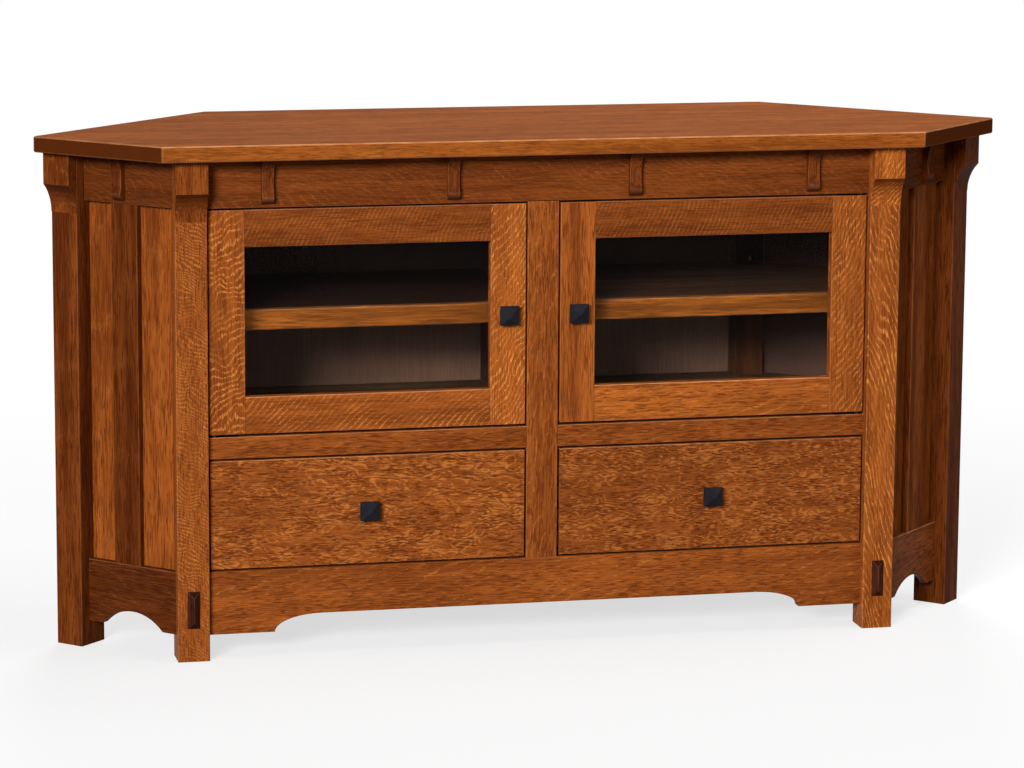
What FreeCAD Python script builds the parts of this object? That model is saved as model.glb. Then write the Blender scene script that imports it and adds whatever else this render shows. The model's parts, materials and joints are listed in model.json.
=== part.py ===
import FreeCAD, Part
import math
import os
from FreeCAD import Vector

# A corner cabinet in oak: two glass doors over two drawers, between four posts, with canted sides.
# Millimetres. X runs to the viewer's right, Y runs back towards the corner of the room, Z runs up.
# The origin is on the floor, in the middle of the plan's bounding box.
# The right-hand pieces are modelled and the left-hand ones are their mirror images.

# Overall sizes
overall_width = 1587.5
overall_depth = 495.3
overall_height = 825.5
cant_run = 181.0  # how far each front corner of the top is cut back, along X and along Y

# Top
top_thickness = 25.4
top_overhang = 44.45  # beyond the posts, in front and at the canted sides
top_corner_radius = 5.0
top_edge_ease = 2.0

# Posts
post_width = 50.8
front_post_margin = 24.0  # from the outer side of a front post to the end of the top's straight front
post_ease = 1.2

# Brackets at the heads of the posts: a block over a hollow curve
bracket_projection = 19.05
bracket_block_height = 52.4
bracket_hollow_height = 46.0

# Front members, one above the other
board_thickness = 19.05
face_setback = 12.0  # of the front boards, doors and drawers behind the fronts of the posts
frieze_height = 79.4
mid_rail_height = 34.9
drawer_opening_height = 181.3
apron_height = 101.6
foot_height = 39.7  # from the floor to the underside of the apron
centre_stile_width = 50.8

# Tenons
tenon_length = 22.0
tenon_thickness = 8.0
tenon_shoulder = 9.0
stile_tenon_share = 0.35  # of the centre stile's width

# Arch under the front apron
arch_margin = 105.7  # from the inner side of a post to the end of the arch
arch_rise = 27.5
arch_shoulder = 75.0  # length of each rounded end

# Canted sides, measured behind the outward face of the wall post
side_setback = 20.0
side_board_thickness = 12.7
side_frame_thickness = 24.45
side_arch_flat = 28.0
side_arch_rise = 25.5
side_stile_width = 51.7  # beside the wall post
side_panel_width = 50.8
side_frame_overlap = 5.0  # how far the hidden rails stay out of the panel's opening
side_frame_hem = 20.0  # from the crown of the side arch up to the frame
panel_projection = 11.0  # how far the panel's field stands out from the stiles
panel_tongue = 6.35
panel_tongue_setback = 9.5
panel_groove = 8.0

# Corbels
corbel_width = 19.0
side_corbel_place = 72.5  # from the wall post to the middle of the corbel
corbel_foot_margin = 5.3  # from the corbel's foot to the lower edge of the frieze
corbel_head = 23.0
corbel_waist = 10.0
corbel_toe = 13.5
corbel_inner_share = 0.274  # of the way from the middle of the cabinet to a front post
corbel_outer_share = 0.822
corbel_waist_share = 0.5
corbel_toe_share = 0.825
corbel_round_share = 0.955
corbel_round_depth_share = 0.62

# Tenon plugs
plug_width = 20.0
plug_height = 60.0
plug_rise = 44.0  # from the underside of the apron to the middle of the plug
plug_projection = 5.5
plug_hip = 10.0
plug_ridge = 0.8
plug_depth = 8.0

# Case
deck_thickness = 19.05
divider_thickness = 19.05
back_thickness = 6.35
back_inset = 6.35
back_groove = 8.0
cleat_side = 19.05
cable_hole_radius = 25.4
cable_hole_drop = 85.0  # centre below the underside of the top
cable_hole_share = 0.5  # of the half width of the rear panel

# Shelves
shelf_height_share = 0.533  # of the door opening's height
shelf_thickness = 19.05
shelf_edge_height = 32.0
shelf_edge_thickness = 19.05
shelf_setback = 30.95  # from the backs of the doors to the shelf's front edge
shelf_clearance = 1.5
pin_radius = 3.0
pin_length = 20.0
pin_seat = 9.0
pin_pitch = 32.0
pin_rows = 2  # the row in use and the rows above it
pin_front_distance = 45.0  # from the shelf's front edge to the first pin in the divider
pin_rear_distance = 50.0  # from the rear panel to the second pin in the divider
pin_stile_share = 0.25  # of the stile at the front post, from the panel

# Doors
door_gap_side = 3.0
door_gap_top = 3.0
door_gap_bottom = 4.0
door_stile_width = 57.15
door_rail_width = 59.0
door_opening_lip = 8.0
rebate_width = 9.5
glass_thickness = 4.0
glass_clearance = 1.0
bead_height = 6.0

# Pivot hinges
hinge_edge_distance = 8.0
hinge_face_distance = 5.0
hinge_pin_radius = 2.5
hinge_running_gap = 0.05
hinge_leaf_inner_margin = 6.15  # from the leaf's end to the inner edge of the door's stile
hinge_leaf_width = 13.0
hinge_leaf_thickness = 2.5
hinge_leaf_front_margin = 1.0
hinge_leaf_end_margin = 1.0
hinge_collar_radius = 3.8
hinge_collar_gap = 0.3

# Catches
catch_width = 25.0
catch_depth = 20.0
catch_height = 12.0
strike_thickness = 1.5
catch_gap = 0.3
catch_distance = 30.0  # from the free edge of the door

# Drawers
drawer_gap_side = 3.0
drawer_gap_edge = 3.5
drawer_side_thickness = 12.7
drawer_headroom = 21.0  # above the sides of the drawer
drawer_clearance = 30.0  # behind the drawer, to the wall panel or the rear post
drawer_bottom_thickness = 6.35
drawer_bottom_rise = 9.0
drawer_groove = 6.0
drawer_back_thickness = 12.7
drawer_back_inset = 12.0
drawer_back_housing = 5.0
dovetail_length = 13.0
dovetail_count = 4
dovetail_narrow_share = 0.42
dovetail_wide_share = 0.62
runner_ledge_thickness = 10.0
runner_ledge_width = 13.0
runner_guide_thickness = 12.0
runner_guide_height = 26.0
runner_gap = 0.3
runner_overhang = 8.0  # of the runners behind the closed drawer

# Knobs: a square pyramid on a short neck
knob_width = 31.0
knob_neck_width = 15.0
knob_neck_length = 9.0
knob_rim = 4.0
knob_rise = 11.0
knob_tip = 1.5
knob_screw_radius = 2.0
knob_screw_bite = 12.0
screw_head_radius = 4.5
screw_head_height = 2.5

overrun = 1.0  # how far a cutter runs past what it cuts

# Heights that follow from the sizes above
top_underside = overall_height - top_thickness
frieze_bottom = top_underside - frieze_height
apron_bottom = foot_height
drawer_opening_bottom = apron_bottom + apron_height
mid_rail_bottom = drawer_opening_bottom + drawer_opening_height
door_opening_bottom = mid_rail_bottom + mid_rail_height
door_opening_height = frieze_bottom - door_opening_bottom
bottom_deck_underside = drawer_opening_bottom - deck_thickness
middle_deck_underside = door_opening_bottom - deck_thickness

# Places along Y, front to back
front_edge = -overall_depth / 2
rear_edge = overall_depth / 2
post_front = front_edge + top_overhang
post_back = post_front + post_width
face_front = post_front + face_setback
face_back = face_front + board_thickness
rear_panel_back = rear_edge - back_inset
rear_panel_front = rear_panel_back - back_thickness

# Places along X on the right-hand side. The top's sharp corner, before it is rounded, lies outside the
# overall width.
cant_share = math.sqrt(0.5)
corner_x = overall_width / 2 + top_corner_radius * (1 / cant_share - 1)
corner_y = front_edge + cant_run
front_post_reach = corner_x - cant_run - front_post_margin
post_inner = front_post_reach - post_width
stile_half = centre_stile_width / 2
divider_half = divider_thickness / 2
rear_corner_x = corner_x - (rear_edge - corner_y)
rear_post_inner = rear_corner_x - post_width
rear_post_front = rear_edge - post_width

# Places on the canted side, measured inward from the edge of the top
wall_post_face = top_overhang
side_board_face = wall_post_face + side_setback
side_board_back = side_board_face + side_board_thickness
wall_post_back = side_board_back + side_frame_thickness
wall_panel_inside = back_inset + back_thickness


def box(x, y, z):
    """A box between pairs of low and high values."""
    return Part.makeBox(x[1] - x[0], y[1] - y[0], z[1] - z[0], Vector(x[0], y[0], z[0]))


def prism(points, z):
    """A plan outline raised between two heights."""
    corners = [Vector(px, py, z[0]) for px, py in points]
    face = Part.Face(Part.makePolygon(corners + corners[:1]))
    return face.extrude(Vector(0, 0, z[1] - z[0]))


def mirrored(shape):
    """The left-hand twin of a right-hand shape."""
    return shape.mirror(Vector(0, 0, 0), Vector(1, 0, 0))


def twins(shapes):
    """Right-hand shapes and their left-hand twins."""
    return shapes + [mirrored(s) for s in shapes]


def cut_all(shape, tools):
    for tool in tools:
        shape = shape.cut(tool)
    return shape


def cant(along, inward):
    """A plan point on the right-hand side: along the cant from its wall end, and inward from its edge."""
    return (corner_x - (along + inward) * cant_share, corner_y + (inward - along) * cant_share)


def cant_vector(along, inward, height):
    px, py = cant(along, inward)
    return Vector(px, py, height)


def cant_inward(distance):
    """The step that moves a shape inward from the canted edge."""
    return Vector(-distance * cant_share, distance * cant_share, 0)


def along_at_x(x, inward):
    return (corner_x - x) / cant_share - inward


def along_at_y(y, inward):
    return inward - (y - corner_y) / cant_share


def cant_box(along, inward, z):
    points = [(along[0], inward[0]), (along[1], inward[0]), (along[1], inward[1]), (along[0], inward[1])]
    return prism([cant(a, i) for a, i in points], z)


def eased_square(low, high, z):
    """An upright square stick with its four long corners taken off."""
    (x0, y0), (x1, y1) = low, high
    e = post_ease
    points = [(x0 + e, y0), (x1 - e, y0), (x1, y0 + e), (x1, y1 - e)]
    points += [(x1 - e, y1), (x0 + e, y1), (x0, y1 - e), (x0, y0 + e)]
    return prism(points, z)


def top_slab():
    """The top: a straight front, canted front corners and two edges that meet the walls."""
    half_front = corner_x - cant_run
    right = [(half_front, front_edge), (corner_x, corner_y), (rear_corner_x, rear_edge)]
    left = [(-x, y) for x, y in reversed(right)]
    slab = prism(right + left, (top_underside, overall_height))
    uprights = [e for e in slab.Edges if abs(e.BoundBox.ZLength - top_thickness) < post_ease]
    slab = slab.makeFillet(top_corner_radius, uprights)
    rims = [e for e in slab.Edges if e.BoundBox.ZLength < post_ease]
    return slab.makeChamfer(top_edge_ease, rims)


def front_post():
    return eased_square((post_inner, post_front), (front_post_reach, post_back), (0, top_underside))


def wall_post():
    """The outer post, square to the canted side, flush with the edge of the top at the wall."""
    e = post_ease
    outer = [(e, wall_post_face), (post_width - e, wall_post_face), (post_width, wall_post_face + e)]
    inner = [(post_width, wall_post_back), (0, wall_post_back), (0, wall_post_face + e)]
    return prism([cant(a, i) for a, i in outer + inner], (0, top_underside))


def rear_post():
    return eased_square((rear_post_inner, rear_post_front), (rear_corner_x, rear_edge), (0, top_underside))


def bracket(place, away):
    """A block over a hollow curve. place gives a point of the post's face, away is the way out of it."""
    block_bottom = top_underside - bracket_block_height
    hollow_bottom = block_bottom - bracket_hollow_height
    radius = (bracket_hollow_height ** 2 + bracket_projection ** 2) / (2 * bracket_projection)
    sweep = math.asin(bracket_hollow_height / radius)

    def at(out, height):
        return place + away * out + Vector(0, 0, height)

    def on_hollow(angle):
        return at(radius * (1 - math.cos(angle)), hollow_bottom + radius * math.sin(angle))

    hollow = Part.Arc(on_hollow(0), on_hollow(sweep / 2), on_hollow(sweep)).toShape()
    outline = [at(bracket_projection, block_bottom), at(bracket_projection, top_underside)]
    outline += [at(0, top_underside), at(0, hollow_bottom)]
    return Part.Face(Part.Wire([hollow] + Part.makePolygon(outline).Edges))


def front_bracket():
    face = bracket(Vector(post_inner, post_front, 0), Vector(0, -1, 0))
    return face.extrude(Vector(post_width, 0, 0))


def wall_bracket():
    outward = Vector(cant_share, -cant_share, 0)
    face = bracket(cant_vector(0, wall_post_face, 0), outward)
    return face.extrude(cant_vector(post_width, 0, 0) - cant_vector(0, 0, 0))


def corbel_face(place, away):
    """A small corbel's side: deep at the head, hollow at the waist and rounded under the toe."""
    height =frieze_height - corbel_foot_margin

    def at(out, share):
        return place + away * out + Vector(0, 0, top_underside - height * share)

    toe = at(corbel_toe, corbel_toe_share)
    hollow = Part.Arc(at(corbel_head, 0), at(corbel_waist, corbel_waist_share), toe)
    nose = at(corbel_toe * corbel_round_depth_share, corbel_round_share)
    rounding = Part.Arc(toe, nose, at(0, 1))
    back = Part.makePolygon([at(0, 1), at(0, 0), at(corbel_head, 0)])
    return Part.Face(Part.Wire([hollow.toShape(), rounding.toShape()] + back.Edges))


def front_corbel(centre):
    face = corbel_face(Vector(centre - corbel_width / 2, face_front, 0), Vector(0, -1, 0))
    return face.extrude(Vector(corbel_width, 0, 0))


def side_corbel():
    """The corbel on a side frieze, over the side panel."""
    start = post_width + side_corbel_place - corbel_width / 2
    face = corbel_face(cant_vector(start, side_board_face, 0), Vector(cant_share, -cant_share, 0))
    return face.extrude(cant_vector(corbel_width, 0, 0) - cant_vector(0, 0, 0))


def tenon_y():
    """The tenons lie in the middle of the front boards."""
    margin = (board_thickness - tenon_thickness) / 2
    return (face_front + margin, face_back - margin)


def end_tenon(x, z):
    return box(x, tenon_y(), (z[0] + tenon_shoulder, z[1] - tenon_shoulder))


def post_tenons(z):
    """Both ends of a board that spans from front post to front post."""
    return twins([end_tenon((post_inner, post_inner + tenon_length), z)])


def front_frieze():
    z = (frieze_bottom, top_underside)
    board = box((-post_inner, post_inner), (face_front, face_back), z)
    return board.multiFuse(post_tenons(z)).removeSplitter()


def front_arch():
    """The space cut under the front apron: a flat crown with a quarter ellipse at each end."""
    half = post_inner - arch_margin
    crown = half - arch_shoulder
    right = Part.Ellipse(Vector(crown, 0, 0), arch_shoulder, arch_rise)
    left = Part.Ellipse(Vector(-crown, 0, 0), arch_shoulder, arch_rise)
    quarter = math.pi / 2
    edges = [
        Part.ArcOfEllipse(right, 0, quarter).toShape(),
        Part.makeLine(Vector(crown, arch_rise, 0), Vector(-crown, arch_rise, 0)),
        Part.ArcOfEllipse(left, quarter, 2 * quarter).toShape(),
        Part.makeLine(Vector(-half, 0, 0), Vector(-half, -overrun, 0)),
        Part.makeLine(Vector(-half, -overrun, 0), Vector(half, -overrun, 0)),
        Part.makeLine(Vector(half, -overrun, 0), Vector(half, 0, 0)),
    ]
    face = Part.Face(Part.Wire(Part.__sortEdges__(edges)))
    face.rotate(Vector(0, 0, 0), Vector(1, 0, 0), math.degrees(quarter))
    face.translate(Vector(0, face_front - overrun, apron_bottom))
    return face.extrude(Vector(0, board_thickness + 2 * overrun, 0))


def front_apron():
    z = (apron_bottom, drawer_opening_bottom)
    board = box((-post_inner, post_inner), (face_front, face_back), z)
    return board.multiFuse(post_tenons(z)).removeSplitter().cut(front_arch())


def centre_stile():
    """The upright between the doors and the drawers, tenoned into the frieze and the apron."""
    z = (drawer_opening_bottom, frieze_bottom)
    stick = box((-stile_half, stile_half), (face_front, face_back), z)
    x = (-stile_half + tenon_shoulder, stile_half - tenon_shoulder)
    tenon = box(x, tenon_y(), (z[0] - tenon_length, z[1] + tenon_length))
    return stick.fuse(tenon).removeSplitter()


def mid_rail():
    """The rail between a door and a drawer, tenoned into the centre stile and the front post."""
    z = (mid_rail_bottom, door_opening_bottom)
    rail = box((stile_half, post_inner), (face_front, face_back), z)
    inner = end_tenon((stile_half - centre_stile_width * stile_tenon_share, stile_half), z)
    outer = end_tenon((post_inner, post_inner + tenon_length), z)
    return rail.multiFuse([inner, outer]).removeSplitter()


def side_board(z):
    """A board on the canted side, tenoned into the wall post and bevelled against the front post."""
    face, back = side_board_face, side_board_back
    face_end = (along_at_x(front_post_reach, face), face)
    back_end = (along_at_x(front_post_reach, back), back)
    points = [(post_width, face), face_end, back_end, (post_width, back)]
    board = prism([cant(a, i) for a, i in points], z)
    margin = (side_board_thickness - tenon_thickness) / 2
    tenon_z = (z[0] + tenon_shoulder, z[1] - tenon_shoulder)
    tenon = cant_box((post_width - tenon_length, post_width), (face + margin, back - margin), tenon_z)
    return board.fuse(tenon).removeSplitter()


def side_arch():
    """The low curved arch cut under a side apron."""
    start = post_width + side_arch_flat
    end = along_at_x(front_post_reach, side_board_face) - side_arch_flat
    inward = side_board_face - overrun
    feet = [cant_vector(start, inward, apron_bottom), cant_vector(end, inward, apron_bottom)]
    crown = cant_vector((start + end) / 2, inward, apron_bottom + side_arch_rise)
    drop = Vector(0, 0, overrun)
    curve = Part.Arc(feet[0], crown, feet[1]).toShape()
    rest = Part.makePolygon([feet[1], feet[1] - drop, feet[0] - drop, feet[0]])
    face = Part.Face(Part.Wire([curve] + rest.Edges))
    return face.extrude(cant_inward(side_board_thickness + 2 * overrun))


def side_frieze():
    return side_board((frieze_bottom, top_underside))


def side_apron():
    return side_board((apron_bottom, drawer_opening_bottom)).cut(side_arch())


def side_frame_heights():
    return (apron_bottom + side_arch_rise + side_frame_hem, top_underside)


def panel_along():
    """The panel's opening along the cant, between the two stiles."""
    start = post_width + side_stile_width
    return (start, start + side_panel_width)


def panel_heights():
    return (drawer_opening_bottom - side_frame_overlap, frieze_bottom + side_frame_overlap)


def tongue_depths():
    face = side_board_back + panel_tongue_setback
    return (face, min(face + panel_tongue, wall_post_back))


def side_panel():
    """The panel: a field that stands out between the apron and the frieze, on a tongue all round."""
    along, z = panel_along(), panel_heights()
    field = cant_box(along, (side_board_back - panel_projection, tongue_depths()[1]),
                     (drawer_opening_bottom, frieze_bottom))
    along = (along[0] - panel_groove, along[1] + panel_groove)
    tongue = cant_box(along, tongue_depths(), (z[0] - panel_groove, z[1] + panel_groove))
    return field.fuse(tongue).removeSplitter()


def side_rails():
    """The two rails behind the frieze and the apron, with stub tenons in the panel's groove."""
    along, opening, frame = panel_along(), panel_heights(), side_frame_heights()
    rails = []
    for z in [(frame[0], opening[0]), (opening[1], frame[1])]:
        rail = cant_box(along, (side_board_back, wall_post_back), z)
        stubs = cant_box((along[0] - panel_groove, along[1] + panel_groove), tongue_depths(), z)
        rails.append(rail.fuse(stubs).removeSplitter().cut(side_panel()))
    return rails


def side_stiles():
    """The stiles on both sides of the panel. The front one fits round the corner of the front post."""
    z = side_frame_heights()
    along = panel_along()
    face, back = side_board_back, wall_post_back
    wall_stile = cant_box((post_width, along[0]), (face, back), z)
    face_end = (along_at_x(front_post_reach, face), face)
    back_end = (along_at_y(post_back, back), back)
    points = [(along[1], face), face_end, back_end, (along[1], back)]
    post = box((post_inner, front_post_reach), (post_front, post_back), z)
    front_stile = prism([cant(a, i) for a, i in points], z).cut(post)
    inserts = side_rails() + [side_panel()]
    return [cut_all(wall_stile, inserts), cut_all(front_stile, inserts)]


def hipped(width, height, ridge_width, ridge_height, rise):
    """A hipped form on a base in the XZ plane about the origin, rising towards the viewer."""
    half_w, half_h = width / 2, height / 2
    solid = Part.makeWedge(-half_w, 0, -half_h, -ridge_height / 2, -ridge_width / 2,
                           half_w, rise, half_h, ridge_height / 2, ridge_width / 2)
    solid.rotate(Vector(0, 0, 0), Vector(0, 0, 1), math.degrees(math.pi))
    return solid


def plug():
    """A dark plug let into the foot of a front post, with a hipped face."""
    hip = hipped(plug_width, plug_height, plug_ridge, plug_height - 2 * plug_hip, plug_projection)
    half_w, half_h = plug_width / 2, plug_height / 2
    shank = box((-half_w, half_w), (0, plug_depth), (-half_h, half_h))
    solid = hip.fuse(shank)
    solid.translate(Vector(front_post_reach - post_width / 2, post_front, apron_bottom + plug_rise))
    return solid


def half_floor(front, inner_x, gap):
    """Right half of a board that fills the case, from its front line to the rear, less a gap all round."""
    side = wall_post_back + gap
    wall = wall_panel_inside + gap
    wall_end = (rear_corner_x + gap, corner_y + (corner_x - rear_corner_x - gap) - 2 * wall * cant_share)
    points = [cant(along_at_y(front, side), side), cant(wall, side), wall_end]
    points += [(rear_corner_x + gap, rear_post_front - gap), (rear_post_inner - gap, rear_post_front - gap)]
    points += [(rear_post_inner - gap, rear_panel_front - gap), (inner_x, rear_panel_front - gap)]
    return points


def deck(underside):
    """A deck behind the front boards, notched round the front and rear posts."""
    front = [(0, face_back), (post_inner, face_back), (post_inner, post_back)]
    outline = prism(front + half_floor(post_back, 0, 0), (underside, underside + deck_thickness))
    return outline.fuse(mirrored(outline)).removeSplitter()


def shelf_front():
    return face_back + shelf_setback


def shelf_heights():
    top = door_opening_bottom + door_opening_height * shelf_height_share
    return (top - shelf_thickness, top)


def shelf_inner_x():
    return divider_half + shelf_clearance


def shelf():
    """The board behind the shelf's front edge."""
    front = shelf_front() + shelf_edge_thickness
    outline = [(shelf_inner_x(), front)] + half_floor(front, shelf_inner_x(), shelf_clearance)
    return prism(outline, shelf_heights())


def shelf_edge():
    """The deep strip on the front of a shelf, with its outer end cut to the canted side."""
    front = shelf_front()
    back = front + shelf_edge_thickness
    side = wall_post_back + shelf_clearance
    outer = [cant(along_at_y(y, side), side) for y in (front, back)]
    top = shelf_heights()[1]
    return prism([(shelf_inner_x(), front), outer[0], outer[1], (shelf_inner_x(), back)],
                 (top - shelf_edge_height, top))


def pin_places():
    """For each shelf pin of the right-hand bay: where its seat starts and the way it points."""
    height = shelf_heights()[0] - pin_radius
    front_y = shelf_front() + pin_front_distance
    rear_y = rear_panel_front - pin_rear_distance
    stile_start, stile_end = panel_along()[1], along_at_y(post_back, side_board_back)
    in_stile = stile_start + (stile_end - stile_start) * pin_stile_share
    rear_post_middle = (rear_post_inner + rear_corner_x) / 2
    return [
        (Vector(divider_half - pin_seat, front_y, height), Vector(1, 0, 0)),
        (Vector(divider_half - pin_seat, rear_y, height), Vector(1, 0, 0)),
        (cant_vector(in_stile, wall_post_back - pin_seat, height), cant_inward(1)),
        (Vector(rear_post_middle, rear_post_front + pin_seat, height), Vector(0, -1, 0)),
    ]


def shelf_pins():
    return [Part.makeCylinder(pin_radius, pin_length, place, way) for place, way in pin_places()]


def pin_holes():
    """The holes for the pins, and the rows above them for a higher shelf."""
    holes = []
    for place, way in pin_places():
        for step in range(pin_rows):
            start = place + Vector(0, 0, step * pin_pitch)
            holes.append(Part.makeCylinder(pin_radius, pin_seat + overrun, start, way))
    return holes


def lower_divider():
    z = (drawer_opening_bottom, middle_deck_underside)
    return box((-divider_half, divider_half), (face_back, rear_panel_front), z)


def upper_divider():
    z = (door_opening_bottom, top_underside)
    return box((-divider_half, divider_half), (face_back, rear_panel_front), z)


def back_heights():
    return (bottom_deck_underside, top_underside)


def rear_panel():
    """The panel across the back, with a cable hole behind each door bay."""
    half = rear_post_inner + back_groove
    panel = box((-half, half), (rear_panel_front, rear_panel_back), back_heights())
    height = top_underside - cable_hole_drop
    centre = Vector(half * cable_hole_share, rear_panel_front - overrun, height)
    hole = Part.makeCylinder(cable_hole_radius, back_thickness + 2 * overrun, centre, Vector(0, 1, 0))
    return cut_all(panel, twins([hole]))


def wall_panel():
    """The panel along the wall, let into the wall post and the rear post."""
    reach = along_to_rear_post() + back_groove
    return cant_box((back_inset, wall_panel_inside), (wall_post_back - back_groove, reach), back_heights())


def along_to_rear_post():
    """Distance inward from the canted edge to the rear post, along the wall panel."""
    return (corner_x - rear_corner_x) / cant_share - back_inset


def cleats():
    """The square strips under the top that hold it to the case, right-hand half."""
    z = (top_underside - cleat_side, top_underside)
    front = box((divider_half, post_inner), (face_back, face_back + cleat_side), z)
    rear = box((divider_half, rear_post_inner), (rear_panel_front - cleat_side, rear_panel_front), z)
    inside = wall_panel_inside + cleat_side
    end = (corner_x - rear_corner_x) / cant_share - inside
    wall = cant_box((wall_panel_inside, inside), (wall_post_back, end), z)
    return [front, rear, wall]


def door_x():
    return (stile_half + door_gap_side, post_inner - door_gap_side)


def door_z():
    return (door_opening_bottom + door_gap_bottom, frieze_bottom - door_gap_top)


def door_y():
    return (face_front, face_back)


def glass_opening():
    return (grown(door_x(), -door_stile_width), grown(door_z(), -door_rail_width))


def grown(pair, amount):
    return (pair[0] - amount, pair[1] + amount)


def rebate():
    """The step behind the opening that takes the glass and its beads."""
    x, z = glass_opening()
    y = (face_front + door_opening_lip, face_back + overrun)
    return box(grown(x, rebate_width), y, grown(z, rebate_width))


def door_rails():
    x, z = door_x(), door_z()
    opening_x, opening_z = glass_opening()
    tenon_depth = (door_stile_width - rebate_width) / 2
    rails = []
    for low, high in [(z[0], opening_z[0]), (opening_z[1], z[1])]:
        rail = box(opening_x, door_y(), (low, high))
        tenon_z = (low + tenon_shoulder, high - rebate_width)
        if low > z[0]:
            tenon_z = (low + rebate_width, high - tenon_shoulder)
        tenon = box(grown(opening_x, tenon_depth), tenon_y(), tenon_z)
        rails.append(rail.fuse(tenon).removeSplitter().cut(rebate()))
    return rails


def door_stiles():
    """The uprights of a door, free edge first, cut for the rails, the rebate, the hinges and the knob."""
    x, z = door_x(), door_z()
    opening_x = glass_opening()[0]
    tools = door_rails() + [rebate()] + door_leaves() + [knob_hole(door_knob_place())]
    free = box((x[0], opening_x[0]), door_y(), z)
    hung = box((opening_x[1], x[1]), door_y(), z)
    return [cut_all(free, tools), cut_all(hung, tools)]


def glass_heights():
    return grown(glass_opening()[1], rebate_width - glass_clearance)


def glass_widths():
    return grown(glass_opening()[0], rebate_width - glass_clearance)


def glass_depths():
    front = face_front + door_opening_lip
    return (front, front + glass_thickness)


def door_glass():
    return box(glass_widths(), glass_depths(), glass_heights())


def glazing_beads():
    """Four strips behind the glass that hold it in its rebate."""
    x = grown(glass_opening()[0], rebate_width)
    z = grown(glass_opening()[1], rebate_width)
    back = glass_depths()[1]
    y = (back, min(back + bead_height, face_back))
    inner_x, inner_z = glass_opening()
    return [
        box((x[0], inner_x[0]), y, z),
        box((inner_x[1], x[1]), y, z),
        box(inner_x, y, (z[0], inner_z[0])),
        box(inner_x, y, (inner_z[1], z[1])),
    ]


def hinge_axis():
    return (door_x()[1] - hinge_edge_distance, face_front + hinge_face_distance)


def leaf(outer_x, z):
    y = face_front + hinge_leaf_front_margin
    length = door_stile_width - hinge_leaf_end_margin - hinge_leaf_inner_margin
    return box((outer_x - length, outer_x), (y, y + hinge_leaf_width), z)


def hinge_pin(z, radius):
    x, y = hinge_axis()
    return Part.makeCylinder(radius, z[1] - z[0], Vector(x, y, z[0]), Vector(0, 0, 1))


def door_leaves():
    """The leaves let into the door's top and bottom edges, each with its pin; a collar carries the door."""
    z = door_z()
    outer = door_x()[1] - hinge_leaf_end_margin
    upper = leaf(outer, (z[1] - hinge_leaf_thickness, z[1]))
    upper_pin = hinge_pin((z[1], frieze_bottom + hinge_leaf_thickness), hinge_pin_radius)
    lower = leaf(outer, (z[0], z[0] + hinge_leaf_thickness))
    lower_pin = hinge_pin((door_opening_bottom - hinge_leaf_thickness, z[0]), hinge_pin_radius)
    collar = hinge_pin((door_opening_bottom + hinge_collar_gap, z[0]), hinge_collar_radius)
    return [upper.fuse(upper_pin), lower.multiFuse([lower_pin, collar])]


def frame_leaves():
    """The leaves let into the frieze and the rail, bored for the pins."""
    outer = post_inner - hinge_leaf_end_margin
    bore = hinge_pin_radius + hinge_running_gap
    upper_z = (frieze_bottom, frieze_bottom + hinge_leaf_thickness)
    lower_z = (door_opening_bottom - hinge_leaf_thickness, door_opening_bottom)
    leaves = []
    for z in [upper_z, lower_z]:
        leaves.append(leaf(outer, z).cut(hinge_pin(grown(z, overrun), bore)))
    return leaves


def hinge_recesses():
    """The frame leaves without their bores, for cutting the frieze and the rail."""
    outer = post_inner - hinge_leaf_end_margin
    return [
        leaf(outer, (frieze_bottom, frieze_bottom + hinge_leaf_thickness)),
        leaf(outer, (door_opening_bottom - hinge_leaf_thickness, door_opening_bottom)),
    ]


def strike():
    """The steel plate on the back of the door that the magnet holds."""
    start = door_x()[0] + catch_distance
    low = door_z()[0]
    high = door_opening_bottom + catch_height
    return box((start, start + catch_width), (face_back, face_back + strike_thickness), (low, high))


def catch():
    start = door_x()[0] + catch_distance
    front = face_back + strike_thickness + catch_gap
    z = (door_opening_bottom, door_opening_bottom + catch_height)
    return box((start, start + catch_width), (front, front + catch_depth), z)


def door_knob_place():
    z = door_z()
    return Vector(door_x()[0] + door_stile_width / 2, face_front, (z[0] + z[1]) / 2)


def drawer_knob_place():
    height = drawer_opening_bottom + drawer_opening_height / 2
    return Vector((stile_half + post_inner) / 2, face_front, height)


def knob_bore():
    """The screw's shank, from inside the knob to the back of the board, about the origin."""
    return Part.makeCylinder(knob_screw_radius, knob_screw_bite + board_thickness,
                             Vector(0, board_thickness, 0), Vector(0, -1, 0))


def knob_hole(place):
    hole = knob_bore()
    hole.translate(place)
    return hole


def knob(place):
    """A pyramid knob on a square neck, and the screw that holds it from behind."""
    neck_half, half = knob_neck_width / 2, knob_width / 2
    neck = box((-neck_half, neck_half), (-knob_neck_length, 0), (-neck_half, neck_half))
    rim_front = -knob_neck_length - knob_rim
    rim = box((-half, half), (rim_front, -knob_neck_length), (-half, half))
    pyramid = hipped(knob_width, knob_width, knob_tip, knob_tip, knob_rise)
    pyramid.translate(Vector(0, rim_front, 0))
    seat = Vector(0, board_thickness, 0)
    head = Part.makeCylinder(screw_head_radius, screw_head_height, seat, Vector(0, 1, 0))
    screw = knob_bore().fuse(head)
    body = neck.multiFuse([rim, pyramid]).removeSplitter().cut(knob_bore())
    for solid in (body, screw):
        solid.translate(place)
    return [body, screw]


def drawer_x():
    return (stile_half + drawer_gap_side, post_inner - drawer_gap_side)


def drawer_side_z():
    low = drawer_opening_bottom + runner_ledge_thickness + runner_gap
    return (low, mid_rail_bottom - drawer_headroom)


def drawer_rear():
    """The back end of a drawer's sides. Its outer corner clears the wall panel and the rear post."""
    at_wall = corner_x + corner_y - 2 * wall_panel_inside * cant_share - drawer_x()[1]
    return min(at_wall, rear_post_front) - drawer_clearance


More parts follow.
